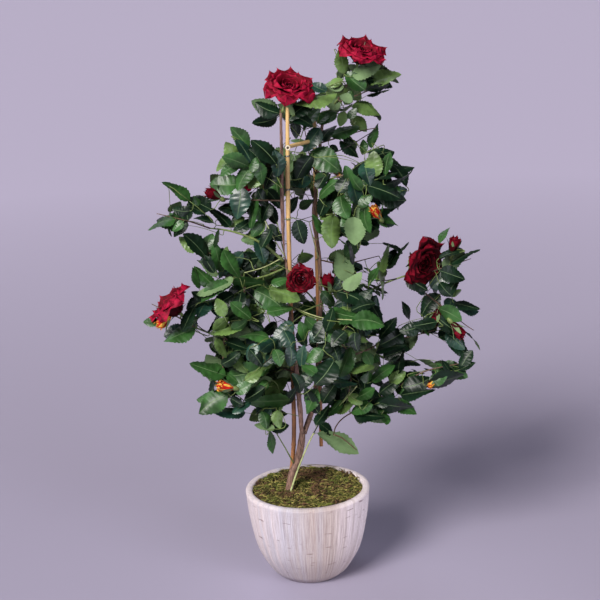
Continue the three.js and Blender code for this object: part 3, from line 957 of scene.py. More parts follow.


# Leaflets that show on the front of the crown, part by part: picture places of base and tip, the width seen,
# and the tone, which also paints shade, deep on the right side, and light, fresh and pale at the top.
FRONT_LEAVES = {
    "top right spray": (
        (344, 73, 340, 49, 12, FRESH), (354, 76, 380, 64, 15, PALE), (364, 89, 346, 73, 15, MID),
        (370, 83, 400, 75, 13, FRESH), (363, 91, 388, 85, 5, DEEP), (343, 87, 326, 85, 11, PALE),
    ),
    "top right, inner": (
        (350, 95, 333, 92, 10, FRESH), (353, 107, 379, 115, 11, FRESH), (352, 116, 366, 131, 12, FRESH),
        (358, 127, 331, 135, 12, MID), (345, 104, 352, 91, 10, MID), (340, 106, 324, 101, 12, PALE),
        (344, 112, 340, 126, 10, FRESH), (336, 114, 320, 124, 10, MID), (341, 141, 358, 157, 8, DEEP),
        (352, 101, 340, 96, 9, PALE), (348, 118, 356, 108, 8, MID), (334, 96, 318, 95, 9, FRESH),
        (345, 136, 352, 144, 8, DEEP), (372, 147, 378, 124, 7, MID), (363, 154, 363, 140, 8, MID),
        (368, 152, 382, 150, 5, DEEP), (330, 146, 338, 151, 6, DEEP),
    ),
    "top left spray": (
        (335, 94, 296, 104, 10, FRESH), (279, 113, 256, 103, 15, DEEP), (276, 118, 253, 123, 13, DEEP),
        (294, 114, 278, 105, 9, PALE), (297, 110, 313, 106, 10, PALE), (289, 116, 312, 126, 13, DEEP),
        (294, 122, 296, 138, 10, DEEP), (326, 91, 311, 84, 9, BLUE), (330, 86, 343, 79, 8, FRESH),
        (319, 129, 304, 151, 15, BLUE),
    ),
    "between the canes": (
        (312, 152, 339, 171, 24, MID), (311, 157, 297, 179, 17, DEEP), (310, 181, 286, 183, 9, BLUE),
        (320, 197, 339, 181, 12, MID), (321, 219, 337, 205, 11, FRESH), (316, 182, 330, 175, 12, MID),
        (297, 221, 304, 243, 15, DEEP), (300, 208, 314, 200, 8, MID), (290, 213, 298, 197, 9, DEEP),
        (298, 262, 313, 256, 9, FRESH), (312, 104, 290, 120, 14, DEEP), (304, 129, 320, 108, 10, MID),
        (322, 140, 336, 126, 9, DEEP), (318, 123, 331, 111, 9, MID), (320, 215, 330, 190, 13, DEEP),
        (318, 188, 328, 171, 10, DEEP), (322, 234, 313, 215, 8, MID), (302, 188, 294, 170, 9, DEEP),
    ),
    "upper left": (
        (248, 147, 231, 128, 14, MID), (237, 167, 226, 143, 17, FRESH), (251, 162, 237, 140, 13, BLUE),
        (275, 163, 252, 141, 16, DEEP), (248, 166, 223, 157, 14, MID), (277, 176, 274, 151, 14, BLUE),
        (262, 168, 249, 150, 14, DEEP), (242, 184, 211, 184, 19, MID), (241, 188, 237, 218, 19, BLUE),
        (263, 174, 249, 188, 11, FRESH), (274, 178, 275, 205, 17, MID), (254, 198, 251, 228, 10, MID),
        (244, 218, 229, 227, 8, FRESH), (251, 220, 234, 231, 11, DEEP), (258, 190, 268, 206, 12, DEEP),
        (265, 200, 260, 182, 9, FRESH), (262, 224, 252, 236, 12, MID), (270, 204, 262, 222, 10, DEEP),
        (268, 226, 283, 240, 13, DEEP), (252, 172, 256, 158, 9, MID), (276, 223, 262, 204, 13, DEEP),
        (262, 247, 271, 229, 10, DEEP), (254, 204, 265, 223, 11, MID), (238, 167, 221, 176, 10, MID),
        (228, 158, 217, 171, 8, FRESH), (266, 190, 280, 208, 12, DEEP), (251, 168, 238, 190, 14, MID),
        (275, 167, 265, 189, 13, DEEP), (258, 163, 262, 184, 12, MID),
    ),
    "left arm": (
        (188, 200, 163, 183, 11, MID), (189, 211, 173, 209, 11, DEEP), (174, 220, 149, 230, 8, MID),
        (183, 222, 173, 231, 8, MID), (210, 209, 187, 198, 14, DEEP), (229, 226, 208, 208, 10, DEEP),
        (213, 223, 194, 219, 5, DEEP), (200, 210, 194, 197, 8, MID), (205, 214, 189, 207, 7, DEEP),
    ),
    "middle left, outer": (
        (208, 261, 184, 235, 14, DEEP), (215, 247, 219, 230, 5, MID), (221, 270, 215, 245, 13, MID),
        (239, 277, 224, 251, 14, MID), (213, 285, 195, 267, 13, MID), (232, 279, 198, 294, 11, PALE),
        (230, 286, 202, 302, 13, MID), (199, 288, 193, 268, 7, MID), (214, 272, 204, 256, 10, DEEP),
    ),
    "middle left": (
        (233, 281, 265, 283, 12, MID), (244, 276, 256, 264, 10, DEEP), (257, 240, 264, 263, 13, BLUE),
        (264, 222, 249, 236, 12, FRESH), (256, 291, 285, 311, 24, MID), (270, 290, 299, 300, 18, FRESH),
        (262, 279, 278, 268, 10, FRESH), (268, 272, 280, 262, 9, MID), (272, 284, 288, 279, 9, MID),
    ),
    "left rose": (
        (205, 301, 192, 292, 9, DEEP), (204, 300, 187, 309, 12, DEEP), (194, 308, 183, 331, 12, DEEP),
        (194, 329, 165, 341, 13, MID), (160, 322, 144, 322, 9, MID),
    ),
    "lower middle left": (
        (224, 316, 217, 299, 12, FRESH), (250, 318, 231, 303, 13, MID), (214, 330, 228, 318, 10, FRESH),
        (232, 329, 247, 320, 10, MID), (268, 338, 240, 337, 8, MID), (211, 333, 243, 329, 9, FRESH),
        (250, 320, 264, 329, 9, DEEP), (276, 323, 263, 334, 11, DEEP), (268, 312, 292, 308, 10, MID),
        (227, 342, 247, 349, 10, DEEP), (290, 323, 303, 308, 11, DEEP),
    ),
    "low left": (
        (224, 375, 191, 364, 16, MID), (226, 395, 200, 413, 20, MID), (229, 352, 247, 372, 14, FRESH),
        (216, 340, 226, 357, 9, FRESH), (250, 402, 233, 413, 9, BLUE), (288, 400, 250, 402, 15, MID),
        (286, 379, 266, 395, 14, FRESH), (240, 385, 225, 372, 10, MID), (246, 380, 262, 370, 10, FRESH),
        (236, 392, 251, 384, 12, MID), (262, 412, 266, 428, 12, MID), (277, 411, 280, 428, 11, FRESH),
        (274, 429, 255, 425, 8, PALE), (270, 432, 273, 453, 7, MID), (231, 398, 243, 405, 9, DEEP),
        (250, 350, 262, 366, 12, DEEP), (258, 345, 248, 360, 11, BLUE), (222, 364, 240, 352, 12, DEEP),
        (264, 388, 245, 400, 12, DEEP), (268, 382, 251, 391, 10, MID), (284, 404, 296, 388, 10, DEEP),
    ),
    "front": (
        (292, 323, 274, 338, 16, BLUE), (284, 331, 293, 350, 15, BLUE), (304, 340, 300, 322, 10, MID),
        (311, 331, 324, 342, 14, BLUE), (302, 366, 304, 346, 10, BLUE), (290, 347, 290, 366, 12, BLUE),
        (333, 362, 316, 384, 24, DEEP), (350, 349, 340, 376, 14, MID), (330, 342, 338, 360, 14, DEEP),
        (322, 330, 334, 342, 14, MID), (345, 332, 332, 346, 14, DEEP), (355, 333, 358, 351, 12, DEEP),
        (275, 350, 280, 366, 11, MID), (317, 390, 307, 413, 12, MID), (303, 366, 318, 376, 10, MID),
        (318, 412, 305, 388, 12, DEEP), (323, 402, 337, 382, 13, DEEP), (316, 424, 329, 405, 9, DEEP),
        (341, 401, 326, 415, 10, MID), (298, 332, 306, 346, 10, DEEP), (326, 331, 333, 308, 10, DEEP),
        (353, 403, 334, 412, 9, FRESH), (300, 392, 292, 374, 11, DEEP), (324, 322, 310, 342, 15, DEEP),
        (328, 334, 320, 356, 13, DEEP), (306, 318, 322, 330, 11, MID), (314, 373, 300, 388, 13, DEEP),
        (322, 350, 306, 362, 12, MID),
    ),
    "front right": (
        (330, 311, 362, 318, 16, MID), (352, 322, 383, 326, 18, MID), (338, 292, 366, 305, 18, DEEP),
        (360, 303, 372, 290, 12, DEEP), (322, 292, 334, 306, 12, MID), (300, 307, 326, 318, 14, MID),
        (348, 280, 337, 253, 17, PALE), (344, 288, 361, 273, 13, PALE),
    ),
    "upper right": (
        (334, 216, 332, 247, 19, FRESH), (354, 218, 355, 244, 22, PALE), (341, 196, 348, 218, 18, MID),
        (368, 186, 399, 198, 19, DEEP), (387, 184, 412, 170, 5, DEEP), (378, 179, 397, 173, 5, DEEP),
        (386, 174, 390, 153, 10, MID), (374, 176, 374, 152, 17, FRESH), (365, 164, 370, 185, 16, BLUE),
        (352, 179, 358, 205, 13, BLUE), (348, 178, 345, 166, 10, MID), (362, 190, 351, 173, 10, MID),
        (358, 206, 372, 196, 11, MID), (345, 204, 332, 190, 13, MID), (336, 205, 322, 196, 10, MID),
        (366, 205, 370, 232, 12, MID), (378, 218, 387, 227, 6, MID), (384, 219, 398, 226, 4, MID),
        (339, 192, 349, 173, 13, DEEP), (352, 190, 343, 206, 12, MID), (362, 200, 350, 190, 12, BLUE),
        (352, 215, 341, 226, 13, MID), (330, 222, 318, 232, 10, DEEP),
    ),
    "right rose": (
        (388, 268, 408, 243, 5, MID), (407, 278, 427, 290, 14, DEEP), (441, 271, 464, 279, 15, DEEP),
        (452, 264, 479, 250, 5, DEEP), (440, 258, 463, 251, 6, DEEP), (440, 243, 450, 228, 5, MID),
        (385, 276, 378, 262, 8, FRESH), (377, 276, 388, 246, 7, FRESH), (379, 271, 382, 299, 5, FRESH),
        (369, 287, 379, 268, 6, MID), (383, 262, 377, 281, 8, FRESH), (409, 319, 402, 302, 6, DEEP),
        (440, 283, 452, 296, 12, DEEP), (439, 295, 422, 316, 15, DEEP), (455, 303, 479, 309, 8, DEEP),
        (440, 309, 461, 320, 15, MID), (447, 333, 464, 349, 15, BLUE), (438, 318, 456, 332, 14, DEEP),
        (452, 296, 461, 290, 6, FRESH),
    ),
    "right arm": (
        (436, 322, 414, 326, 12, DEEP), (420, 326, 400, 331, 14, DEEP), (402, 333, 380, 345, 20, DEEP),
        (380, 338, 396, 318, 10, DEEP), (384, 356, 402, 350, 14, DEEP), (386, 359, 404, 349, 10, DEEP),
        (400, 364, 420, 365, 7, DEEP), (461, 367, 472, 351, 12, DEEP), (459, 370, 475, 363, 7, DEEP),
        (449, 370, 442, 360, 5, DEEP), (380, 393, 400, 380, 13, DEEP), (384, 373, 406, 361, 12, DEEP),
        (376, 351, 404, 346, 9, DEEP), (398, 373, 405, 350, 8, DEEP), (352, 311, 375, 304, 11, DEEP),
        (447, 293, 459, 277, 10, DEEP),
    ),
    "low right": (
        (404, 387, 430, 378, 19, DEEP), (428, 386, 463, 375, 12, DEEP), (430, 382, 447, 374, 13, MID),
        (402, 395, 434, 390, 10, DEEP), (373, 381, 394, 366, 12, MID), (386, 371, 399, 360, 9, MID),
        (390, 382, 405, 372, 12, FRESH), (381, 403, 413, 407, 12, DEEP), (376, 404, 394, 396, 11, DEEP),
        (355, 415, 384, 417, 12, DEEP), (352, 412, 372, 405, 12, MID), (349, 396, 362, 404, 11, FRESH),
        (356, 398, 374, 388, 10, MID), (333, 383, 356, 384, 6, BLUE), (364, 352, 371, 366, 10, MID),
        (352, 372, 374, 367, 8, FRESH),
    ),
    "under the right side": (
        (320, 424, 334, 438, 8, DEEP), (319, 434, 357, 453, 16, PALE),
    ),
}


def mass_ends(node, starts):
    """Where a mass is joined on: the nearest start. Then its middle, and its far tip, set a little back."""
    points = np.array([v.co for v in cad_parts[node].data.vertices])
    gaps = np.linalg.norm(points[:, None] - starts[None], axis=2)
    root = starts[np.unravel_index(np.argmin(gaps), gaps.shape)[1]]
    middle = points.mean(0)
    far = points[np.argmax(np.linalg.norm(points - root, axis=1))]
    return root, middle, far + (middle - far) * TIP_SET_BACK


def grow_limbs(growth):
    """Boughs of the frame, and one main twig from the nearest limb through the middle of each mass."""
    for node in (*STEMS, *BOUGHS):
        line, radii = limb_line(node, 8 * MM)
        growth.add_start(line)
        if node in BOUGHS:
            growth.twigs.append((line, float(radii[0]), float(radii[-1]), BOUGH_TONES.get(node, "green")))
    limbs = growth.starts.copy()
    for node in sorted(MASSES, key=lambda name: outside_by(CROWN_MIDDLE, name)):
        root, middle, tip = mass_ends(node, limbs)
        line = smooth_line([root, middle + scatter(growth.rng, 6 * MM), tip], 10 * MM)
        growth.twigs.append((line, 2.0 * MM, 0.9 * MM, "brown"))
        growth.add_start(line)


def grow_shown_twigs(growth):
    """Bare twigs that cross the gaps in the crown, each from the limb that it is seen to leave."""
    limbs = growth.starts.copy()
    places = in_picture(limbs)
    for x0, y0, x1, y1, tone, inset in SHOWN_TWIGS:
        root = limbs[np.argmin(np.hypot(places[:, 0] - x0, places[:, 1] - y0) + 8 * places[:, 2])]
        tip = np.array(in_crown(x1, y1, inset))
        middle = (root + tip) / 2 - np.array([0, 0, 0.05 * np.linalg.norm(tip - root)])
        line = smooth_line([root, middle, tip], 8 * MM)
        growth.twigs.append((line, 1.4 * MM, 1.0 * MM, tone))
        growth.add_start(line)


def seen_leaf(growth, x0, y0, x1, y1, width, tone, inset):
    """A leaflet that the camera sees from x0, y0 at its base to x1, y1 at its tip, so wide across.
    One that looks narrow is turned on edge, and one that looks short leans towards the camera."""
    rng = growth.rng
    x0, x1 = x0 - (x1 - x0) * SEEN_LONGER, x1 + (x1 - x0) * SEEN_LONGER
    y0, y1 = y0 - (y1 - y0) * SEEN_LONGER, y1 + (y1 - y0) * SEEN_LONGER
    width = width * SEEN_WIDER
    middle = in_crown((x0 + x1) / 2, (y0 + y1) / 2, inset)
    distance = (middle - CAMERA_AT).dot(FORWARD)
    base = np.array(CAMERA_AT + sight(x0, y0) * distance)
    tip = np.array(CAMERA_AT + sight(x1, y1) * distance)
    towards = unit(EYE - (base + tip) / 2)
    seen_length = float(np.linalg.norm(tip - base))
    seen_width = width * distance / FOCAL
    ratio = seen_width / (LEAF_SHAPE * seen_length)
    lean = 0.22 * seen_length * rng.uniform(-1, 1)
    turn = math.radians(rng.uniform(4, 24))
    if ratio > 1:
        lean = 0.5 * seen_length * math.sqrt(min(ratio * ratio - 1, 1.2))
    else:
        turn = math.acos(max(0.16, ratio))
    base = base - towards * lean * 0.5
    tip = tip + towards * lean * 0.5
    along = unit(tip - base)
    across = unit(np.cross(along, towards))
    face = np.cross(across, along)
    face = face if face @ towards > 0 else -face
    sign = 1.0 if across[2] > 0 else -1.0
    if rng.random() < 0.15:
        sign = -sign
    normal = face * math.cos(turn) + across * math.sin(turn) * sign
    if tone == PALE:
        normal = -normal
    real = float(np.linalg.norm(tip - base)) * LEAF_SHAPE
    return Leaflet(base, tip, normal, max(real, seen_width), tone, rng.uniform(0.15, 0.6))


def grow_seen_leaves(growth):
    """The leaflets that the camera sees on the front of the crown, each joined on by its own stalk."""
    seen = []
    for rows in FRONT_LEAVES.values():
        inset = growth.rng.uniform(8, 26) * MM
        for x0, y0, x1, y1, width, tone in rows:
            leaf = seen_leaf(growth, x0, y0, x1, y1, width, tone, inset + growth.rng.uniform(-6, 14) * MM)
            growth.leaflets.append(leaf)
            seen.append((x0, y0, x1, y1, width, leaf))
    for *_, leaf in sorted(seen, key=lambda row: np.linalg.norm(row[-1].base[:2])):
        growth.sprout(leaf.base, leaf.tip - leaf.base, 0.95 * MM, 0.6 * MM, "green")
    return seen


def segment_gap(points, segments):
    """Distance from each picture place to each segment, as an array of points x segments."""
    start, end = segments[:, 0:2], segments[:, 2:4]
    run = end - start
    offset = points[:, None, :2] - start[None]
    share = np.clip((offset * run).sum(-1) / np.maximum((run * run).sum(-1), 1e-9), 0, 1)
    return np.linalg.norm(offset - share[..., None] * run, axis=-1)


class FrontView:
    """What the camera sees of the crown: leaves that cover it, and things that nothing new may hide."""

    def __init__(self, seen):
        rows = []
        for x0, y0, x1, y1, width, leaf in seen:
            near = float(in_picture([(leaf.base + leaf.tip) / 2])[0, 2])
            rows.append((x0, y0, x1, y1, width / 2, near))
        patches = [(*patch, FURTHEST_VIEW) for patch in CLOSED_PATCHES]
        self.cover = np.array(rows + patches)
        self.guarded = list(rows)

    def guard_limb(self, node):
        """Keeps a limb of the frame in view."""
        places = in_picture(limb_line(node, 12 * MM)[0])
        for a, b in zip(places, places[1:]):
            self.guarded.append((a[0], a[1], b[0], b[1], LIMB_MARGIN, min(a[2], b[2])))

    def guard_flower(self, flower):
        """Keeps a bloom or bud in view."""
        x, y, distance = in_picture(flower.middle)
        self.guarded.append((x, y, x + 0.1, y, flower.size * BLOOM_SHOWN * FOCAL / distance, distance))

    def closed(self, places):
        """Whether no picture place of an array lies against the open sky."""
        gap = segment_gap(places, self.cover) - self.cover[None, :, 4]
        return not (gap.min(1) > COVER_MARGIN).any()

    def allows(self, leaf):
        """Whether a leaflet lies behind what is seen, and nowhere against the open sky."""
        aside = TEST_ASIDE[:, None] * leaf.width
        across = unit(np.cross(leaf.tip - leaf.base, leaf.normal))
        places = in_picture(leaf.base + (leaf.tip - leaf.base) * TEST_ALONG[:, None] + across * aside)
        if not self.closed(places):
            return False
        guarded = np.array(self.guarded)
        gap = segment_gap(places, guarded) - guarded[None, :, 4]
        ahead = places[:, None, 2] < guarded[None, :, 5] + 2 * MM
        return not (ahead & (gap < GUARD_MARGIN)).any()


def compound_leaf(rng, base, heading, tone, size):
    """A stalk with a leaflet at its end and one or two pairs below it: its line and leaflets."""
    heading = unit(heading)
    face = unit(np.array([0, 0, 0.75]) + 0.55 * unit(outward(base)) + scatter(rng, 0.35))
    pairs = 2 if rng.random() < 0.45 else 1
    length = size * (0.62 + 0.30 * pairs)
    t = np.linspace(0, 1, 6)[:, None]
    line = base + heading * length * t - np.array([0, 0, 1.0]) * (length * 0.16 * t ** 2)
    across = unit(np.cross(face, heading))
    leaflets = []
    end = unit(line[-1] - line[-2])
    leaflets.append((line[-1], end, size * rng.uniform(0.92, 1.1), 0.0))
    for pair in range(pairs):
        at = line[-1] + (line[0] - line[-1]) * (0.30 + 0.44 * pair)
        for side in (-1, 1):
            way = unit(end * rng.uniform(0.35, 0.6) + across * side + 0.12 * face * rng.uniform(-1, 1))
            leaflets.append((at + way * 2.5 * MM, way, size * rng.uniform(0.72, 0.92), side))
    made = []
    for root, way, long, side in leaflets:
        down = np.array([0, 0, -1.0]) * rng.uniform(0.0, 0.45)
        way = unit(way + down)
        tilt = unit(face + across * side * rng.uniform(-0.1, 0.45) + scatter(rng, 0.15))
        width = long * rng.uniform(0.62, 0.78)
        made.append(Leaflet(root, root + way * long, tilt, width, tone, rng.uniform(0.15, 0.8)))
    return line, made


def grow_sprays(growth, view, settings):
    """Fills every mass with compound leaves, spaced evenly, each joined on by a side twig."""
    rng = growth.rng
    taken = np.array([(leaf.base + leaf.tip) / 2 for leaf in growth.leaflets])
    keep_off = np.full(len(taken), settings.spray_spacing * SEEN_SPACING)
    for node in MASSES:
        low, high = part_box(node)
        for _ in range(settings.tries):
            place = np.array([rng.uniform(a, b) for a, b in zip(low, high)])
            if outside_by(place, node) > -6 * MM:
                continue
            if (np.linalg.norm(taken - place, axis=1) < keep_off).any():
                continue
            if not view.closed(in_picture([place])):
                continue
            # Painted shade: leaves on the right side and deep in the crown take mostly dark tones; painted
            # light: leaves at the top take paler tones.
            shaded = place[0] > PAINTED_SHADE_SIDE or outside_by(place, *MASSES) < -SHADED_DEPTH
            shares = SHADED_SHARES if shaded else PAINTED_LIGHT_SHARES if place[2] > PAINTED_LIGHT_TOP else OPEN_SHARES
            tone = rng.choices(LEAF_TONES, shares)[0]
            best = best_spray(growth, view, place, tone, settings)
            if best is None:
                continue
            taken = np.vstack([taken, place])
            keep_off = np.append(keep_off, settings.spray_spacing)
            line, leaflets = best
            growth.sprout(line[0], line[1] - line[0], 1.15 * MM, 0.8 * MM, "green", droop=0.04)
            growth.twigs.append((line, 0.8 * MM, 0.5 * MM, "green"))
            growth.leaflets += leaflets


def best_spray(growth, view, place, tone, settings):
    """The compound leaf round a place that keeps most leaflets, out of a few turned different ways."""
    rng = growth.rng
    start = growth.starts[growth.nearest_start(place)]
    if np.linalg.norm(place - start) > SPRAY_REACH:
        return None
    out = unit(outward(place))
    best = None
    for _ in range(SPRAY_TURNS):
        heading = unit(0.5 * unit(place - start) + 0.7 * out + scatter(rng, 0.5))
        size = settings.leaflet_length * rng.uniform(0.85, 1.12)
        base = place - heading * size * 0.8
        if not view.closed(in_picture([base])):
            continue
        line, leaflets = compound_leaf(rng, base, heading, tone, size)
        kept = [leaf for leaf in leaflets if view.allows(leaf)]
        kept = [leaf for leaf in kept if outside_by(leaf.tip, *MASSES) < TIP_PROUD]
        if leaflets[0] not in kept:
            continue
        if best is None or len(kept) > len(best[1]):
            best = (line, kept)
        if len(kept) == len(leaflets):
            break
    return best if best and len(best[1]) >= 2 else None


def grow_screens(growth, view, flowers, length):
    """Leaves in the crown before each bloom and bud at its back, which close the view through it."""
    rng = growth.rng
    right, up = np.array(RIGHT), np.array(UP)
    for flower in flowers:
        towards = unit(EYE - flower.middle)
        for place in range(SCREEN_LEAVES):
            turn = GOLDEN * place
            out = right * math.cos(turn) + up * math.sin(turn)
            reach = flower.size * SCREEN_REACH * math.sqrt(place / SCREEN_LEAVES)
            heart = flower.middle + out * reach + towards * (flower.size * 0.4 + rng.uniform(14, 40) * MM)
            way = unit(out + right * rng.gauss(0, 0.4) - up * rng.uniform(0, 0.8))
            long = length * rng.uniform(0.85, 1.1)
            normal = unit(towards + up * rng.uniform(0.1, 0.5) + right * rng.gauss(0, 0.25))
            tone = rng.choice((DEEP, DEEP, MID, BLUE))
            leaf = Leaflet(heart - way * long / 2, heart + way * long / 2, normal, long * LEAF_SHAPE, tone)
            if view.allows(leaf):
                growth.sprout(leaf.base, way, 0.9 * MM, 0.6 * MM, "green")
                growth.leaflets.append(leaf)


@functools.lru_cache(None)
def grow_plant():
    """Grows the whole crown once: limbs, seen leaves, stalks of blooms and buds, then sprays that fill it."""
    settings = bpy.context.scene.rose_bush_leaves
    growth = Growth(random.Random(settings.seed))
    grow_limbs(growth)
    grow_shown_twigs(growth)
    flowers = (*bloom_places(), *bud_places())
    for flower in flowers:
        hip = flower.foot - flower.axis * flower.size * 0.1
        thick = 0.6 * MM + flower.size * 0.018
        growth.sprout(hip, flower.axis, thick * 1.15, thick, "green")
    view = FrontView(grow_seen_leaves(growth))
    for node in (*STEMS, *CANES, *SHOWN_BOUGHS):
        view.guard_limb(node)
    for flower in flowers:
        if not flower.at_back:
            view.guard_flower(flower)
    at_back = [flower for flower in flowers if flower.at_back]
    grow_screens(growth, view, at_back, settings.leaflet_length)
    grow_sprays(growth, view, settings)
    return growth


# ----------------------------------------------------------
# Where blooms and buds stand

BLOOM_LIFT = 0.34
BUD_SET_BACK = 12 * MM


@dataclasses.dataclass(eq=False)
class Flower:
    """A bloom or bud: the place of its foot, the way it faces, its size, how open it is, and its colours."""

    foot: np.ndarray
    axis: np.ndarray
    size: float
    openness: float
    warm: bool = False
    tints: tuple = ("petal", "edge")

    @property
    def middle(self):
        """The place of its heart."""
        return self.foot + self.axis * self.size * BLOOM_LIFT

    @property
    def at_back(self):
        """Whether it faces away from the camera."""
        return self.axis[1] > 0.5


# Picture place of the middle, radius, the way it faces, how open, how far behind the crown's front, and the
# tints of its outer petals and their edges. The heart tint on the right and centre blooms is painted shade.
FRONT_BLOOMS = {
    "top right": (361, 54, 56 * MM, (0.30, -0.36, 0.88), 0.86, 30 * MM, ("petal", "edge")),
    "top left": (289, 89, 57 * MM, (0.16, -0.44, 0.88), 0.92, 30 * MM, ("petal", "edge")),
    "right": (420, 262, 60 * MM, (0.66, -0.70, -0.18), 0.78, 25 * MM, ("heart", "petal")),
    "left": (173, 307, 54 * MM, (-0.68, -0.10, 0.72), 0.78, 30 * MM, ("petal", "edge")),
    "centre": (301, 279, 37 * MM, (-0.05, -0.99, 0.12), 0.52, 10 * MM, ("heart", "petal")),
}
# On the far side of the crown: picture place of the middle, radius, the way it faces and how open.
BACK_BLOOMS = {
    "upper": (356, 190, 40 * MM, (0.25, 0.80, 0.55), 0.95),
    "left": (256, 174, 42 * MM, (-0.45, 0.80, 0.45), 1.0),
    "middle": (340, 344, 38 * MM, (0.15, 0.92, 0.35), 0.9),
    "low left": (256, 372, 42 * MM, (-0.50, 0.80, 0.25), 0.85),
}
# Picture places of foot and tip, whether it is warm, how open, and how far the tip leans nearer.
FRONT_BUDS = {
    "upper right": (380, 218, 371, 206, True, 0.30, 0.5),
    "left": (170, 315, 156, 328, True, 0.12, 0.2),
    "low left": (233, 388, 216, 385, True, 0.35, 0.3),
    "low right": (436, 381, 428, 387, True, 0.25, 0.3),
    "upper left": (220, 198, 205, 190, False, 0.4, 0.2),
    "high right": (452, 253, 456, 236, False, 0.3, 0.3),
    "middle": (329, 292, 327, 273, False, 0.5, 0.2),
    "right tip": (452, 323, 464, 338, False, 0.2, 0.1),
    "right": (438, 309, 434, 327, False, 0.3, 0.0),
}
# Picture place of the middle, length, the way it points and whether it is warm.
BACK_BUDS = {
    "upper": (338, 172, 27 * MM, (-0.30, 0.75, 0.55), True),
    "middle": (366, 318, 28 * MM, (0.30, 0.80, 0.50), False),
    "low": (338, 378, 26 * MM, (0.20, 0.85, 0.45), True),
    "low left": (238, 352, 26 * MM, (-0.40, 0.80, 0.40), False),
}


def behind_crown(x, y):
    """The point at picture place x, y on the far side of the crown, or of the mass nearest to it."""
    crown = surface(*MASSES)
    ray = sight(x, y).normalized()
    hit = crown.ray_cast(CAMERA_AT + ray * (FURTHEST_VIEW + 1), -ray)[0]
    return np.array(hit if hit is not None else in_crown(x, y, 0.0))


@functools.lru_cache(None)
def bloom_places():
    """Every open rose: those that show at the front, and those at the back of the crown."""
    blooms = []
    for x, y, size, axis, openness, inset, tints in FRONT_BLOOMS.values():
        axis = unit(np.array(axis))
        middle = np.array(in_crown(x, y, inset))
        blooms.append(Flower(middle - axis * size * BLOOM_LIFT, axis, size, openness, tints=tints))
    for x, y, size, axis, openness in BACK_BLOOMS.values():
        axis = unit(np.array(axis))
        blooms.append(Flower(behind_crown(x, y) - axis * size * BLOOM_LIFT, axis, size, openness))
    return blooms


@functools.lru_cache(None)
def bud_places():
    """Every bud, front and back."""
    buds = []
    for x0, y0, x1, y1, warm, openness, nearer in FRONT_BUDS.values():
        middle = in_crown((x0 + x1) / 2, (y0 + y1) / 2, BUD_SET_BACK)
        distance = (middle - CAMERA_AT).dot(FORWARD)
        foot = np.array(CAMERA_AT + sight(x0, y0) * distance)
        tip = np.array(CAMERA_AT + sight(x1, y1) * distance)
        seen = float(np.linalg.norm(tip - foot))
        tip = tip + unit(EYE - tip) * seen * nearer
        size = float(np.linalg.norm(tip - foot))
        buds.append(Flower(foot, unit(tip - foot), size, openness, warm))
    for x, y, size, axis, warm in BACK_BUDS.values():
        axis = unit(np.array(axis))
        buds.append(Flower(behind_crown(x, y) - axis * size * 0.5, axis, size, 0.5, warm))
    return buds


# ----------------------------------------------------------
# Leaf and petal meshes

LEAF_STEPS = 20
# Places of a leaflet's points across it, in half widths. The narrow strip in the middle is its midrib.
LEAF_PLACES = (-1.0, -0.5, -0.035, 0.035, 0.5, 1.0)
LEAF_VEINS = 6.0
LEAF_THICK = 0.5 * MM
VEIN_DEPTH = 0.040
TOOTH_DEPTH = 0.12
TOOTH_LEAN = 0.35
LEAF_WIDE_LOW = 0.80
LEAF_FULLNESS = 0.70


def leaf_outline(t):
    """Half width of a leaflet along its length, one at its widest, with saw teeth at every other step."""
    smooth = np.sin(math.pi * np.clip(t, 0, 1) ** LEAF_WIDE_LOW) ** LEAF_FULLNESS
    teeth = np.where(np.arange(len(t)) % 2 == 0, 1.0, 1.0 - TOOTH_DEPTH)
    return np.maximum(smooth * teeth, 0.012)


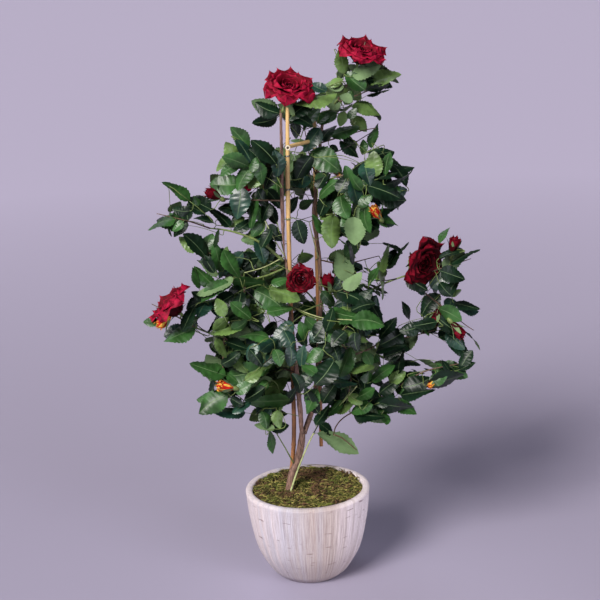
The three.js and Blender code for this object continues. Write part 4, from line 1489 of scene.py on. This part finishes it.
def add_leaflets(heap, leaves, rng, first):
    """Adds leaflets to a heap. Each is a thin closed blade with a midrib fold, raised veins and saw teeth.
    first gives each tone the material index of its upper faces, and the undersides take the next one."""
    count = len(leaves)
    t = np.linspace(0, 1, LEAF_STEPS + 1)
    t[2:-1:2] += TOOTH_LEAN / LEAF_STEPS
    s = np.array(LEAF_PLACES)

    def spread(low, high):
        return np.array([rng.uniform(low, high) for _ in range(count)])[:, None, None]

    base = np.array([leaf.base for leaf in leaves])
    run = np.array([leaf.tip for leaf in leaves]) - base
    chord = np.linalg.norm(run, axis=1)[:, None, None]
    width = np.array([leaf.width for leaf in leaves])[:, None, None]
    bend = np.array([leaf.bend for leaf in leaves])[:, None, None]
    along = unit(run)
    normal = np.array([leaf.normal for leaf in leaves])
    across = unit(np.cross(along, normal))
    face = np.cross(across, along)
    outline = leaf_outline(t)[None, :, None]
    t_grid, s_grid = t[None, :, None], s[None, None, :]
    half = outline * width / 2
    inner = np.sin(math.pi * np.clip(t_grid, 0, 1))
    x = s_grid * half + chord * spread(-0.10, 0.10) * inner
    fold = spread(0.05, 0.42)
    droop = spread(0.10, 0.45)
    phase = spread(0, 2 * math.pi)
    veins = np.cos(2 * math.pi * (LEAF_VEINS * t_grid - 0.9 * np.abs(s_grid)))
    lift = half * (fold * np.abs(s_grid) - droop * s_grid ** 2)
    lift = lift + chord * VEIN_DEPTH * veins * np.abs(s_grid) * (1.25 - np.abs(s_grid)) * inner
    lift = lift + half * 0.16 * np.sin(5.5 * t_grid + phase + 1.5 * s_grid) * s_grid ** 2
    lift = lift + s_grid * half * spread(-0.5, 0.5) * (t_grid - 0.5)
    radius = chord / (2 * np.sin(bend / 2))
    turn = bend * (t_grid - 0.5)
    skin = LEAF_THICK * (1 - s_grid ** 2) * inner

    def sheet(rise):
        y = radius * (np.sin(turn) + np.sin(bend / 2)) + rise * np.sin(turn)
        z = radius * (np.cos(turn) - np.cos(bend / 2)) + rise * np.cos(turn)
        place = base[:, None, None]
        for amount, way in zip(np.broadcast_arrays(x, y, z), (across, along, face)):
            place = place + amount[..., None] * way[:, None, None]
        return place

    both = np.stack([sheet(lift), sheet(lift - skin)], 1)
    columns = len(LEAF_PLACES)
    points_each = (LEAF_STEPS + 1) * columns
    quads = grid_faces(LEAF_STEPS + 1, columns)
    blade = np.concatenate([halved(quads), halved(quads, flip=True) + points_each])
    midrib = np.tile(np.arange(columns - 1) == columns // 2 - 1, 2 * LEAF_STEPS)
    tone = np.array([first[leaf.tone] for leaf in leaves])
    finish = tone[:, None] + np.concatenate([midrib, np.ones(len(midrib))])
    starts = np.arange(count)[:, None, None] * (2 * points_each)
    heap.add(both.reshape(-1, 3), (blade[None] + starts).reshape(-1, 3), finish=finish.ravel())


def turned_to(axis, spin):
    """The rotation that stands +Z along an axis, spun about it first."""
    return Vector(axis).to_track_quat("Z", "Y").to_matrix() @ Matrix.Rotation(spin, 3, "Z")


PETAL_ROWS = 12
PETAL_COLUMNS = 11
PETAL_THICK = 0.7 * MM
PETAL_FOOT_SHARE = 0.45
PETAL_WIDEST = 0.62
PETAL_ROLL_FROM = 0.45


def petal_sheets(length, width, foot, lean, flare, cup, roll, rng):
    """One petal that leans out from +Z towards +X: its points, faces, the zone of each face, 0 by the foot,
    1 on its body and 2 along its edge, and the column of each face across it."""
    u = np.linspace(0, 1, PETAL_ROWS)
    v = np.linspace(-1, 1, PETAL_COLUMNS)
    u_grid, v_grid = u[:, None], v[None, :]
    angle = np.radians(lean + (flare - lean) * u ** 1.7)
    step = length / (PETAL_ROWS - 1)
    r = foot + np.concatenate([[0], np.cumsum(np.sin(angle[:-1]))]) * step
    z = np.concatenate([[0], np.cumsum(np.cos(angle[:-1]))]) * step
    rise = 0.22 + 0.78 * np.sin(math.pi / 2 * np.clip(u_grid / PETAL_WIDEST, 0, 1))
    close = (1 - np.clip((u_grid - PETAL_WIDEST) / (1 - PETAL_WIDEST), 0, 1) ** 2.5) ** 0.62
    half = np.maximum(width / 2 * rise * close, 0.4 * MM)
    arc = v_grid * half / cup
    high = np.clip((u_grid - PETAL_ROLL_FROM) / (1 - PETAL_ROLL_FROM), 0, 1) ** 2
    wave = rng.uniform(0.3, 1.0) * np.sin(4.2 * v_grid + rng.uniform(0, 6.28)) * 0.035 * width
    out = -cup * (1 - np.cos(arc)) + high * (roll * width * np.abs(v_grid) ** 2.4 + wave)
    side = cup * np.sin(arc) * (1 - 0.25 * roll * high * np.abs(v_grid))
    normal_x, normal_z = np.cos(angle)[:, None], -np.sin(angle)[:, None]
    skin = PETAL_THICK * (1 - v_grid ** 2) * np.sin(math.pi * u_grid)
    peak = rng.uniform(0.06, 0.20) * length * high * (1 - np.abs(v_grid)) ** 2

    def sheet(push):
        x = r[:, None] + normal_x * push - normal_z * peak
        return np.stack([x, side, z[:, None] + normal_z * push + normal_x * peak], -1)

    points = np.concatenate([sheet(out).reshape(-1, 3), sheet(out + skin).reshape(-1, 3)])
    quads = grid_faces(PETAL_ROWS, PETAL_COLUMNS)
    faces = np.concatenate([halved(quads, flip=True), halved(quads) + PETAL_ROWS * PETAL_COLUMNS])
    row = np.repeat(np.arange(PETAL_ROWS - 1), PETAL_COLUMNS - 1)
    column = np.tile(np.arange(PETAL_COLUMNS - 1), PETAL_ROWS - 1)
    outer = (column == 0) | (column == PETAL_COLUMNS - 2)
    edge = (row >= PETAL_ROWS - 2) | ((row > PETAL_ROWS * 0.6) & outer)
    zone = np.where(edge, 2, np.where(row < PETAL_ROWS * PETAL_FOOT_SHARE, 0, 1))
    return points, faces, np.tile(zone, 4), np.tile(column, 4)


# Number of petals, then the length, width, foot, lean, flare, cup and roll of each, with lengths as shares
# of the bloom's radius and angles in degrees.
ROSE_WHORLS = (
    (3, 0.40, 0.36, 0.03, -2, -26, 0.075, 0.00),
    (4, 0.46, 0.50, 0.07, 2, -16, 0.13, 0.02),
    (5, 0.54, 0.62, 0.12, 7, 0, 0.20, 0.05),
    (5, 0.62, 0.76, 0.16, 12, 18, 0.30, 0.10),
    (5, 0.76, 0.96, 0.19, 18, 42, 0.44, 0.20),
    (6, 0.90, 1.04, 0.20, 28, 70, 0.66, 0.30),
    (6, 1.00, 1.04, 0.19, 42, 88, 0.90, 0.36),
)
HEART_WHORLS = 3
# Tints of the petals: the dark heart tint is painted shade, the bright edge tint a painted highlight.
BLOOM_TINTS = ("heart", "petal", "edge")


def add_bloom(heap, place, axis, radius, openness, tints, rng):
    """A full rose: whorls of petals from a tight heart to rolled outer ones, which take the tints, with painted
    shade deep in the heart and painted highlights on the edges.
    """
    spin = rng.uniform(0, 6.28)
    stand = np.array(turned_to(axis, 0.0))
    body, edge = (BLOOM_TINTS.index(tint) for tint in tints)
    for layer, (petals, length, width, foot, lean, flare, cup, roll) in enumerate(ROSE_WHORLS):
        spin += GOLDEN
        for petal in range(petals):
            turn = spin + 2 * math.pi * (petal + rng.uniform(-0.10, 0.10)) / petals
            points, faces, zone, _ = petal_sheets(
                length * radius * rng.uniform(0.93, 1.05), width * radius * rng.uniform(0.93, 1.07),
                foot * radius, lean * openness + rng.uniform(-3, 3), flare * openness + rng.uniform(-9, 9),
                cup * radius, roll * rng.uniform(0.6, 1.3), rng,
            )
            around = np.array(Matrix.Rotation(turn, 3, "Z"))
            # Painted shade: the foot of every petal and all of the inner whorls take the dark heart tint;
            # painted highlight: the edges take the edge tint.
            finish = np.array([0, 0 if layer < HEART_WHORLS else body, edge])[zone]
            heap.add(points @ around.T @ stand.T + place, faces, finish=finish)


# The same for a bud, as shares of its length.
BUD_WHORLS = (
    (3, 0.86, 0.62, 0.05, 2, -24, 0.19, 0.0),
    (4, 0.94, 0.80, 0.09, 12, -22, 0.26, 0.02),
    (4, 0.88, 0.78, 0.10, 20, -10, 0.34, 0.08),
)
FLAME, YOLK = 3, 4


def add_bud(heap, place, axis, length, openness, warm, rng):
    """A bud half open. A warm one is yellow, with flame coloured edges and streaks."""
    stand = np.array(turned_to(axis, 0.0))
    spin = rng.uniform(0, 6.28)
    for petals, long, width, foot, lean, flare, cup, roll in BUD_WHORLS:
        spin += GOLDEN
        for petal in range(petals):
            turn = spin + 2 * math.pi * petal / petals
            points, faces, zone, column = petal_sheets(
                long * length, width * length, foot * length, lean * (0.6 + openness),
                flare + 34 * openness + rng.uniform(-5, 5), cup * length, roll, rng,
            )
            if warm:
                finish = np.where((column + petal) % 4 < 2, FLAME, YOLK)
            else:
                # Painted shade: the foot of each petal takes the dark heart tint, the rest the petal tint.
                finish = np.minimum(zone, 1)
            around = np.array(Matrix.Rotation(turn, 3, "Z"))
            heap.add(points @ around.T @ stand.T + place, faces, finish=finish)


def add_calyx(heap, place, axis, size, reach, rng):
    """The green hip under a bloom or bud, with five pointed sepals held out by reach."""
    axis = unit(np.asarray(axis, float))
    t = np.linspace(0, 1, 8)
    swell = 0.16 + 0.84 * np.sin(math.pi * np.clip(t * 0.92 + 0.06, 0, 1)) ** 0.8
    line = place - axis * size * 1.5 + axis[None] * (t * size * 1.9)[:, None]
    tube(heap, line, swell * size * 0.62, 10)
    stand = np.array(turned_to(axis, rng.uniform(0, 6.28)))
    leaves = []
    for sepal in range(5):
        turn = 2 * math.pi * sepal / 5
        way = stand @ np.array([math.cos(turn) * reach, math.sin(turn) * reach, 1.0 - reach])
        out = stand @ np.array([math.cos(turn), math.sin(turn), 0.0])
        root = place + out * size * 0.45
        face = unit(np.cross(np.cross(way, axis), way) + 1e-6)
        leaves.append(Leaflet(root, root + unit(way) * size * 3.6, face, size * 0.9, MID, 0.5))
    return leaves


# ----------------------------------------------------------
# Twigs, leaves, blooms and buds as pieces

TWIG_TONES = ("green", "brown", "dark", "pale")
TWIG_SIDES = 6
LEAF_PIECES = {
    "top_leaves": ("top_right", "top_right_inner", "top_left"),
    "upper_leaves": (
        "heart", "upper_left", "upper_left_low", "left_waist", "upper_right_tip", "upper_right",
        "right_shoulder",
    ),
    "left_leaves": (
        "left_arm", "mid_left_outer", "mid_left", "left_rose", "low_left", "low_left_outer",
        "low_left_under",
    ),
    "front_leaves": ("centre_rose", "front_left", "front", "front_right"),
    "right_leaves": (
        "mid_right", "right_rose", "right_outer", "right_low", "right_low_outer", "right_under",
        "low_right", "droop_right",
    ),
    "back_leaves": (
        "back_upper", "back_middle", "back_right", "back_left", "back_low_left", "back_low_right",
    ),
}
LEAF_SHINES = {DEEP: 0.30, MID: 0.42, BLUE: 0.60, FRESH: 0.42, PALE: 0.42}
BLOOM_HIP, BUD_HIP = 0.12, 0.24


def build_twigs(settings):
    """Every bough, twig, leaf stalk and flower stalk of the crown, joined."""
    heap = Heap()
    for line, foot, tip, tone in grow_plant().twigs:
        radii = np.linspace(foot, tip, len(line))
        tube(heap, line, radii, TWIG_SIDES, finish=TWIG_TONES.index(tone))
    tints = (settings.twig_green, settings.twig_brown, settings.twig_dark, settings.twig_pale)
    skins = [twig_skin(f"{tone} twig", tint) for tone, tint in zip(TWIG_TONES, tints)]
    add_piece("twigs", heap, skins, BOUGHS)


def leaf_finishes(settings):
    """Upper face and underside of each leaf tone, in order, and the first index of each tone."""
    finishes = []
    for tone in LEAF_TONES:
        upper = getattr(settings, tone)
        back = tuple(u * 0.35 + b * 0.65 for u, b in zip(upper, settings.underside))
        finishes.append(leaf_gloss(f"{tone} leaf", upper, settings.gloss, LEAF_SHINES[tone]))
        finishes.append(leaf_back(f"{tone} leaf back", back))
    return finishes, {tone: 2 * place for place, tone in enumerate(LEAF_TONES)}


def build_leaves(settings):
    """Every leaflet of the crown, joined into one piece for each part of the crown."""
    finishes, first = leaf_finishes(settings)
    shares = {name: [] for name in LEAF_PIECES}
    nodes = {name: [part + "_foliage" for part in parts] for name, parts in LEAF_PIECES.items()}
    for leaf in grow_plant().leaflets:
        middle = (leaf.base + leaf.tip) / 2
        nearest = min(nodes, key=lambda name: outside_by(middle, *nodes[name]))
        shares[nearest].append(leaf)
    rng = random.Random(settings.seed + 1)
    for name, leaves in shares.items():
        heap = Heap()
        add_leaflets(heap, leaves, rng, first)
        add_piece(name, heap, finishes, nodes[name])


def build_blooms(settings):
    """Open roses, and the buds, each kind joined, with their green hips and sepals."""
    rng = random.Random(settings.seed)
    blooms, buds, hips = Heap(), Heap(), Heap()
    sepals = []
    for bloom in bloom_places():
        add_bloom(blooms, bloom.foot, bloom.axis, bloom.size, bloom.openness, bloom.tints, rng)
        sepals += add_calyx(hips, bloom.foot, bloom.axis, bloom.size * BLOOM_HIP, 0.85, rng)
    for bud in bud_places():
        add_bud(buds, bud.foot, bud.axis, bud.size, bud.openness, bud.warm, rng)
        sepals += add_calyx(hips, bud.foot, bud.axis, bud.size * BUD_HIP, rng.uniform(0.3, 0.55), rng)
    heart = velvet("bloom heart", settings.heart, 0.0, settings.edge)
    petal = velvet("bloom petal", settings.petal, 0.03, settings.edge)
    edge = velvet("bloom edge", settings.edge, 0.05, settings.edge)
    flame = velvet("bud flame", settings.flame, 0.2, settings.edge)
    yolk = velvet("bud yellow", settings.yolk, 0.1, settings.yolk)
    add_piece("roses", blooms, [heart, petal, edge])
    add_piece("rose_buds", buds, [heart, petal, edge, flame, yolk])
    add_leaflets(hips, sepals, rng, {MID: 1})
    leaf = bpy.context.scene.rose_bush_leaves
    skins = [twig_skin("rose hip", leaf.twig_green), leaf_gloss("sepal", leaf.mid, 0.45, LEAF_SHINES[MID])]
    add_piece("hips_and_sepals", hips, [*skins, leaf_back("sepal back", leaf.underside)])


# ----------------------------------------------------------
# Stage

FLOOR_RADIUS = 400.0
FLOOR_SIDES = 96
# Painted light on the floor: where it starts, where it is full, and how much paler it makes the floor.
FLOOR_PAINTED_LIGHT_START, FLOOR_PAINTED_LIGHT_END = 0.8, 6.0
FLOOR_PAINTED_LIGHT_GAIN = 1.45
WARM = (1.0, 0.965, 0.92)
COOL = (0.86, 0.88, 1.0)
# The setting of each sun's strength, then the way it shines, how soft it is in degrees, and its colour.
SUNS = {
    "key": ((0.46, 0.68, -0.57), 24.0, WARM),
    "side": ((-0.62, 0.75, -0.35), 30.0, COOL),
    "back": ((0.45, -0.60, -0.85), 40.0, COOL),
}
# The setting of each softbox's power, then its place, what it faces, its side, and its spread in degrees.
SOFTBOXES = {
    "left_softbox": ((-1.4, -1.5, 2.2), (0.0, 0.0, 0.75), 1.3, 180.0),
    "low_softbox": ((0.85, -0.75, 0.30), (0.0, 0.0, 0.05), 0.4, 60.0),
}


def add_light(light, towards, place=(0.0, 0.0, 0.0)):
    """Stands a light at place, shining the way that towards points."""
    lamp = bpy.data.objects.new(light.name, light)
    lamp.location = place
    lamp.rotation_euler = Vector(towards).to_track_quat("-Z", "Y").to_euler()
    bpy.context.scene.collection.objects.link(lamp)


def build_lights(settings):
    """The suns with their soft edges, and the square softboxes."""
    for name, (towards, angle, colour) in SUNS.items():
        light = bpy.data.lights.new(name + " light", "SUN")
        light.energy = getattr(settings, name)
        light.angle = math.radians(angle)
        light.color = colour
        add_light(light, towards)
    for name, (place, target, side, spread) in SOFTBOXES.items():
        light = bpy.data.lights.new(name.replace("_", " "), "AREA")
        light.energy = getattr(settings, name)
        light.shape = "SQUARE"
        light.size = side
        light.spread = math.radians(spread)
        add_light(light, Vector(target) - Vector(place), place)


def build_air(settings):
    """Faint light from all round, and a plain backdrop that only the camera sees."""
    world = bpy.data.worlds.new("studio")
    world.use_nodes = True
    tree = world.node_tree
    light = tree.nodes["Background"]
    light.inputs["Color"].default_value = (*settings.air, 1.0)
    light.inputs["Strength"].default_value = settings.fill
    plain = tree.nodes.new("ShaderNodeBackground")
    plain.inputs["Color"].default_value = (*settings.backdrop, 1.0)
    mixed = tree.nodes.new("ShaderNodeMixShader")
    seen = tree.nodes.new("ShaderNodeLightPath").outputs["Is Camera Ray"]
    for output, socket in ((seen, 0), (light.outputs[0], 1), (plain.outputs[0], 2)):
        tree.links.new(output, mixed.inputs[socket])
    tree.links.new(mixed.outputs[0], tree.nodes["World Output"].inputs["Surface"])
    bpy.context.scene.world = world


def build_camera():
    """The camera, level with the top bloom and looking a little down."""
    view = bpy.data.cameras.new("camera")
    view.lens = FOCAL * SENSOR / PICTURE
    view.sensor_width = SENSOR
    camera = bpy.data.objects.new("camera", view)
    axes = Matrix((RIGHT, UP, -FORWARD)).transposed()
    camera.matrix_world = Matrix.Translation(CAMERA_AT) @ axes.to_4x4()
    bpy.context.scene.collection.objects.link(camera)
    bpy.context.scene.camera = camera


def build_floor(settings):
    """Wide plain floor."""
    turn = np.arange(FLOOR_SIDES) * (2 * math.pi / FLOOR_SIDES)
    rim = [(FLOOR_RADIUS * math.cos(a), FLOOR_RADIUS * math.sin(a), 0.0) for a in turn]
    mesh = bpy.data.meshes.new("floor")
    mesh.from_pydata(rim, [], [range(FLOOR_SIDES)])
    mesh.materials.append(studio_floor(settings.floor))
    floor = bpy.data.objects.new("floor", mesh)
    bpy.context.scene.collection.objects.link(floor)


def build_stage(settings):
    """Wide plain floor, soft studio light from the front left, and the camera."""
    build_floor(settings)
    build_lights(settings)
    build_air(settings)
    build_camera()
    bpy.context.scene.view_settings.view_transform = "Standard"


# ----------------------------------------------------------
# Settings


def colour_property(name, value, description):
    """A colour that the user can change."""
    return FloatVectorProperty(
        name=name, description=description, default=value, subtype="COLOR", size=3, min=0.0, max=1.0,
    )


def length_property(name, value, description, low=0.0, high=1.0):
    """A length in metres that the user can change."""
    return FloatProperty(
        name=name, description=description, default=value, min=low, max=high,
        subtype="DISTANCE", unit="LENGTH", precision=5,
    )


def strength_property(name, value, description, unit="NONE"):
    """The strength of a light that the user can change."""
    return FloatProperty(name=name, description=description, default=value, min=0.0, unit=unit)


class RoseBushPotSettings(bpy.types.PropertyGroup):
    """Ribs and wash of the pot."""

    ribs: IntProperty(name="Ribs", description="Points round the pot", default=600, min=60, max=1200)
    rib_depth: length_property("Rib depth", 0.00035, "How deep the fine upright ribs are", 0.0, 0.003)
    wash: colour_property("Wash", (0.66, 0.59, 0.62), "Pale wash over the whole pot")
    streak: colour_property("Streak", (0.50, 0.43, 0.43), "How much darker the thin lines in the wash are")
    # The stain colour, made darker, also paints the shade towards the pot's foot.
    stain: colour_property("Stain", (0.53, 0.44, 0.42), "Beige where the wash is worn")
    blue: colour_property("Blue", (0.58, 0.56, 0.65), "Bluish panels in the wash")
    cast: colour_property("Cast", (0.30, 0.28, 0.25), "Rough cast filling under the moss")


class RoseBushMossSettings(bpy.types.PropertyGroup):
    """Moss in the pot."""

    seed: IntProperty(name="Seed", description="Which way the strands fall", default=11)
    strands: IntProperty(name="Strands", description="Number of loose strands", default=4600, min=0)
    strand_length: length_property("Strand length", 0.019, "How long a strand is", 0.004, 0.05)
    shade: colour_property("Shade", (0.022, 0.014, 0.006), "Dark moss deep between the strands")
    brown: colour_property("Brown", (0.16, 0.085, 0.045), "Withered strands")
    olive: colour_property("Olive", (0.080, 0.070, 0.018), "Most strands")
    yellow: colour_property("Yellow", (0.34, 0.29, 0.085), "Dry strands")
    green: colour_property("Green", (0.13, 0.150, 0.030), "Fresh strands")


class RoseBushWoodSettings(bpy.types.PropertyGroup):
    """Bark, canes and wire."""

    bark: colour_property("Bark", (0.20, 0.118, 0.092), "Pinkish brown bark")
    bark_relief: length_property("Bark relief", 0.0012, "Height of the bark's ridges", 0.0, 0.004)
    cane: colour_property("Cane", (0.80, 0.53, 0.22), "Pale skin of the canes")
    cane_foot: colour_property("Cane foot", (0.46, 0.20, 0.075), "Warmer skin near the pot")
    cane_cut: colour_property("Cane cut", (0.80, 0.68, 0.50), "Pale cut end of the rung")
    # A dark colour that paints the shade inside the rung's hollow end.
    pith: colour_property("Pith", (0.05, 0.03, 0.02), "Dark pith in the cut end")
    wire: colour_property("Wire", (0.35, 0.33, 0.30), "Tying wire")


class RoseBushLeafSettings(bpy.types.PropertyGroup):
    """Growth of the crown, and the tones of its leaves and twigs."""

    seed: IntProperty(name="Seed", description="Which way the crown grows", default=7)
    leaflet_length: length_property("Leaflet length", 0.062, "Length of the end leaflet", 0.01, 0.15)
    spray_spacing: length_property("Spray spacing", 0.036, "Distance between sprays", 0.02, 0.2)
    tries: IntProperty(name="Tries", description="Places tried in each mass", default=1300, min=1)
    gloss: FloatProperty(
        name="Gloss", description="Roughness of the upper faces", default=0.35, min=0.05, max=1.0,
        subtype="FACTOR",
    )
    deep: colour_property("Deep", (0.0042, 0.0155, 0.0065), "Dark leaves")
    mid: colour_property("Mid", (0.025, 0.078, 0.017), "Most leaves")
    blue: colour_property("Blue", (0.010, 0.042, 0.026), "Bluish leaves")
    fresh: colour_property("Fresh", (0.100, 0.170, 0.045), "Young leaves")
    pale: colour_property("Pale", (0.14, 0.235, 0.100), "Leaves turned to show their undersides")
    underside: colour_property("Underside", (0.155, 0.235, 0.105), "Pale undersides")
    twig_green: colour_property("Green twig", (0.14, 0.19, 0.05), "Leaf stalks and young twigs")
    twig_brown: colour_property("Brown twig", (0.13, 0.075, 0.045), "Woody twigs")
    twig_dark: colour_property("Dark twig", (0.025, 0.022, 0.02), "Old dark twigs")
    twig_pale: colour_property("Pale twig", (0.40, 0.44, 0.20), "Pale green twigs")


class RoseBushBloomSettings(bpy.types.PropertyGroup):
    """Roses and buds."""

    seed: IntProperty(name="Seed", description="How the petals fall", default=5)
    # The heart colour is painted shade: the feet of petals, the inner whorls and the shaded blooms.
    heart: colour_property("Heart", (0.040, 0.0006, 0.003), "Dark petals in the heart")
    petal: colour_property("Petal", (0.135, 0.0010, 0.009), "Outer petals")
    # The edge colour is a painted highlight on the petal rims.
    edge: colour_property("Edge", (0.30, 0.0050, 0.030), "Bright petal edges")
    flame: colour_property("Flame", (0.50, 0.018, 0.010), "Red of the two coloured buds")
    yolk: colour_property("Yellow", (0.80, 0.44, 0.07), "Yellow of the two coloured buds")


class RoseBushStageSettings(bpy.types.PropertyGroup):
    """Floor and light."""

    floor: colour_property("Floor", (0.355, 0.321, 0.427), "Plain pale floor")
    backdrop: colour_property("Backdrop", (0.475, 0.43, 0.565), "What shows beyond the floor")
    air: colour_property("Air", (0.88, 0.86, 1.0), "Colour of the light from all round")
    fill: strength_property("Fill", 0.05, "Strength of the light from all round")
    key: strength_property("Key", 3.9, "Strength of the main light")
    side: strength_property("Side", 0.85, "Strength of the light from the right")
    back: strength_property("Back", 0.6, "Strength of the light from behind")
    left_softbox: strength_property("Left softbox", 16.0, "Power of the large softbox, left", "POWER")
    low_softbox: strength_property("Low softbox", 0.5, "Power of the softbox low at the right", "POWER")


# ----------------------------------------------------------
# Operators


class ROSE_BUSH_OT_add_stage(bpy.types.Operator):
    """Add the floor, the lights and the camera"""

    bl_idname = "rose_bush.add_stage"
    bl_label = "Add stage"

    def execute(self, context):
        build_stage(context.scene.rose_bush_stage)
        return {"FINISHED"}


class ROSE_BUSH_OT_add_pot(bpy.types.Operator):
    """Add the ribbed, whitewashed bowl pot"""

    bl_idname = "rose_bush.add_pot"
    bl_label = "Add pot"

    def execute(self, context):
        build_pot(context.scene.rose_bush_pot)
        return {"FINISHED"}


class ROSE_BUSH_OT_add_moss(bpy.types.Operator):
    """Add the moss bed and its loose strands"""

    bl_idname = "rose_bush.add_moss"
    bl_label = "Add moss"

    def execute(self, context):
        build_moss(context.scene.rose_bush_moss)
        return {"FINISHED"}


class ROSE_BUSH_OT_add_stems(bpy.types.Operator):
    """Add the trunk and the two woody stems with their bark"""

    bl_idname = "rose_bush.add_stems"
    bl_label = "Add stems"

    def execute(self, context):
        build_stems(context.scene.rose_bush_wood)
        return {"FINISHED"}


class ROSE_BUSH_OT_add_canes(bpy.types.Operator):
    """Add the two canes, their rung and the wire that ties them"""

    bl_idname = "rose_bush.add_canes"
    bl_label = "Add canes"

    def execute(self, context):
        build_canes(context.scene.rose_bush_wood)
        return {"FINISHED"}


class ROSE_BUSH_OT_add_twigs(bpy.types.Operator):
    """Add the boughs, twigs and stalks"""

    bl_idname = "rose_bush.add_twigs"
    bl_label = "Add twigs"

    def execute(self, context):
        build_twigs(context.scene.rose_bush_leaves)
        return {"FINISHED"}


class ROSE_BUSH_OT_add_leaves(bpy.types.Operator):
    """Add the leaves of every part of the crown"""

    bl_idname = "rose_bush.add_leaves"
    bl_label = "Add leaves"

    def execute(self, context):
        build_leaves(context.scene.rose_bush_leaves)
        return {"FINISHED"}


class ROSE_BUSH_OT_add_blooms(bpy.types.Operator):
    """Add the open roses and the buds"""

    bl_idname = "rose_bush.add_blooms"
    bl_label = "Add blooms"

    def execute(self, context):
        build_blooms(context.scene.rose_bush_blooms)
        return {"FINISHED"}


SETTINGS = {
    "rose_bush_pot": RoseBushPotSettings,
    "rose_bush_moss": RoseBushMossSettings,
    "rose_bush_wood": RoseBushWoodSettings,
    "rose_bush_leaves": RoseBushLeafSettings,
    "rose_bush_blooms": RoseBushBloomSettings,
    "rose_bush_stage": RoseBushStageSettings,
}
OPERATORS = (
    ROSE_BUSH_OT_add_stage,
    ROSE_BUSH_OT_add_pot,
    ROSE_BUSH_OT_add_moss,
    ROSE_BUSH_OT_add_stems,
    ROSE_BUSH_OT_add_canes,
    ROSE_BUSH_OT_add_twigs,
    ROSE_BUSH_OT_add_leaves,
    ROSE_BUSH_OT_add_blooms,
)


class ROSE_BUSH_PT_parts(bpy.types.Panel):
    """Lists the settings and the parts of the rose bush"""

    bl_idname = "ROSE_BUSH_PT_parts"
    bl_label = "Rose bush"
    bl_space_type = "VIEW_3D"
    bl_region_type = "UI"
    bl_category = "Rose bush"

    def draw(self, context):
        for name, group in SETTINGS.items():
            box = self.layout.box()
            for field in group.__annotations__:
                box.prop(getattr(context.scene, name), field)
        for operator in OPERATORS:
            self.layout.operator(operator.bl_idname)


CLASSES = (*SETTINGS.values(), *OPERATORS, ROSE_BUSH_PT_parts)


def register():
    for cls in CLASSES:
        bpy.utils.register_class(cls)
    for name, group in SETTINGS.items():
        setattr(bpy.types.Scene, name, PointerProperty(type=group))


def unregister():
    for name in SETTINGS:
        delattr(bpy.types.Scene, name)
    for cls in reversed(CLASSES):
        bpy.utils.unregister_class(cls)


def main():
    """Adds every part in order."""
    register()
    bpy.ops.rose_bush.add_stage()
    bpy.ops.rose_bush.add_pot()
    bpy.ops.rose_bush.add_moss()
    bpy.ops.rose_bush.add_stems()
    bpy.ops.rose_bush.add_canes()
    bpy.ops.rose_bush.add_twigs()
    bpy.ops.rose_bush.add_leaves()
    bpy.ops.rose_bush.add_blooms()


if __name__ == "__main__":
    main()
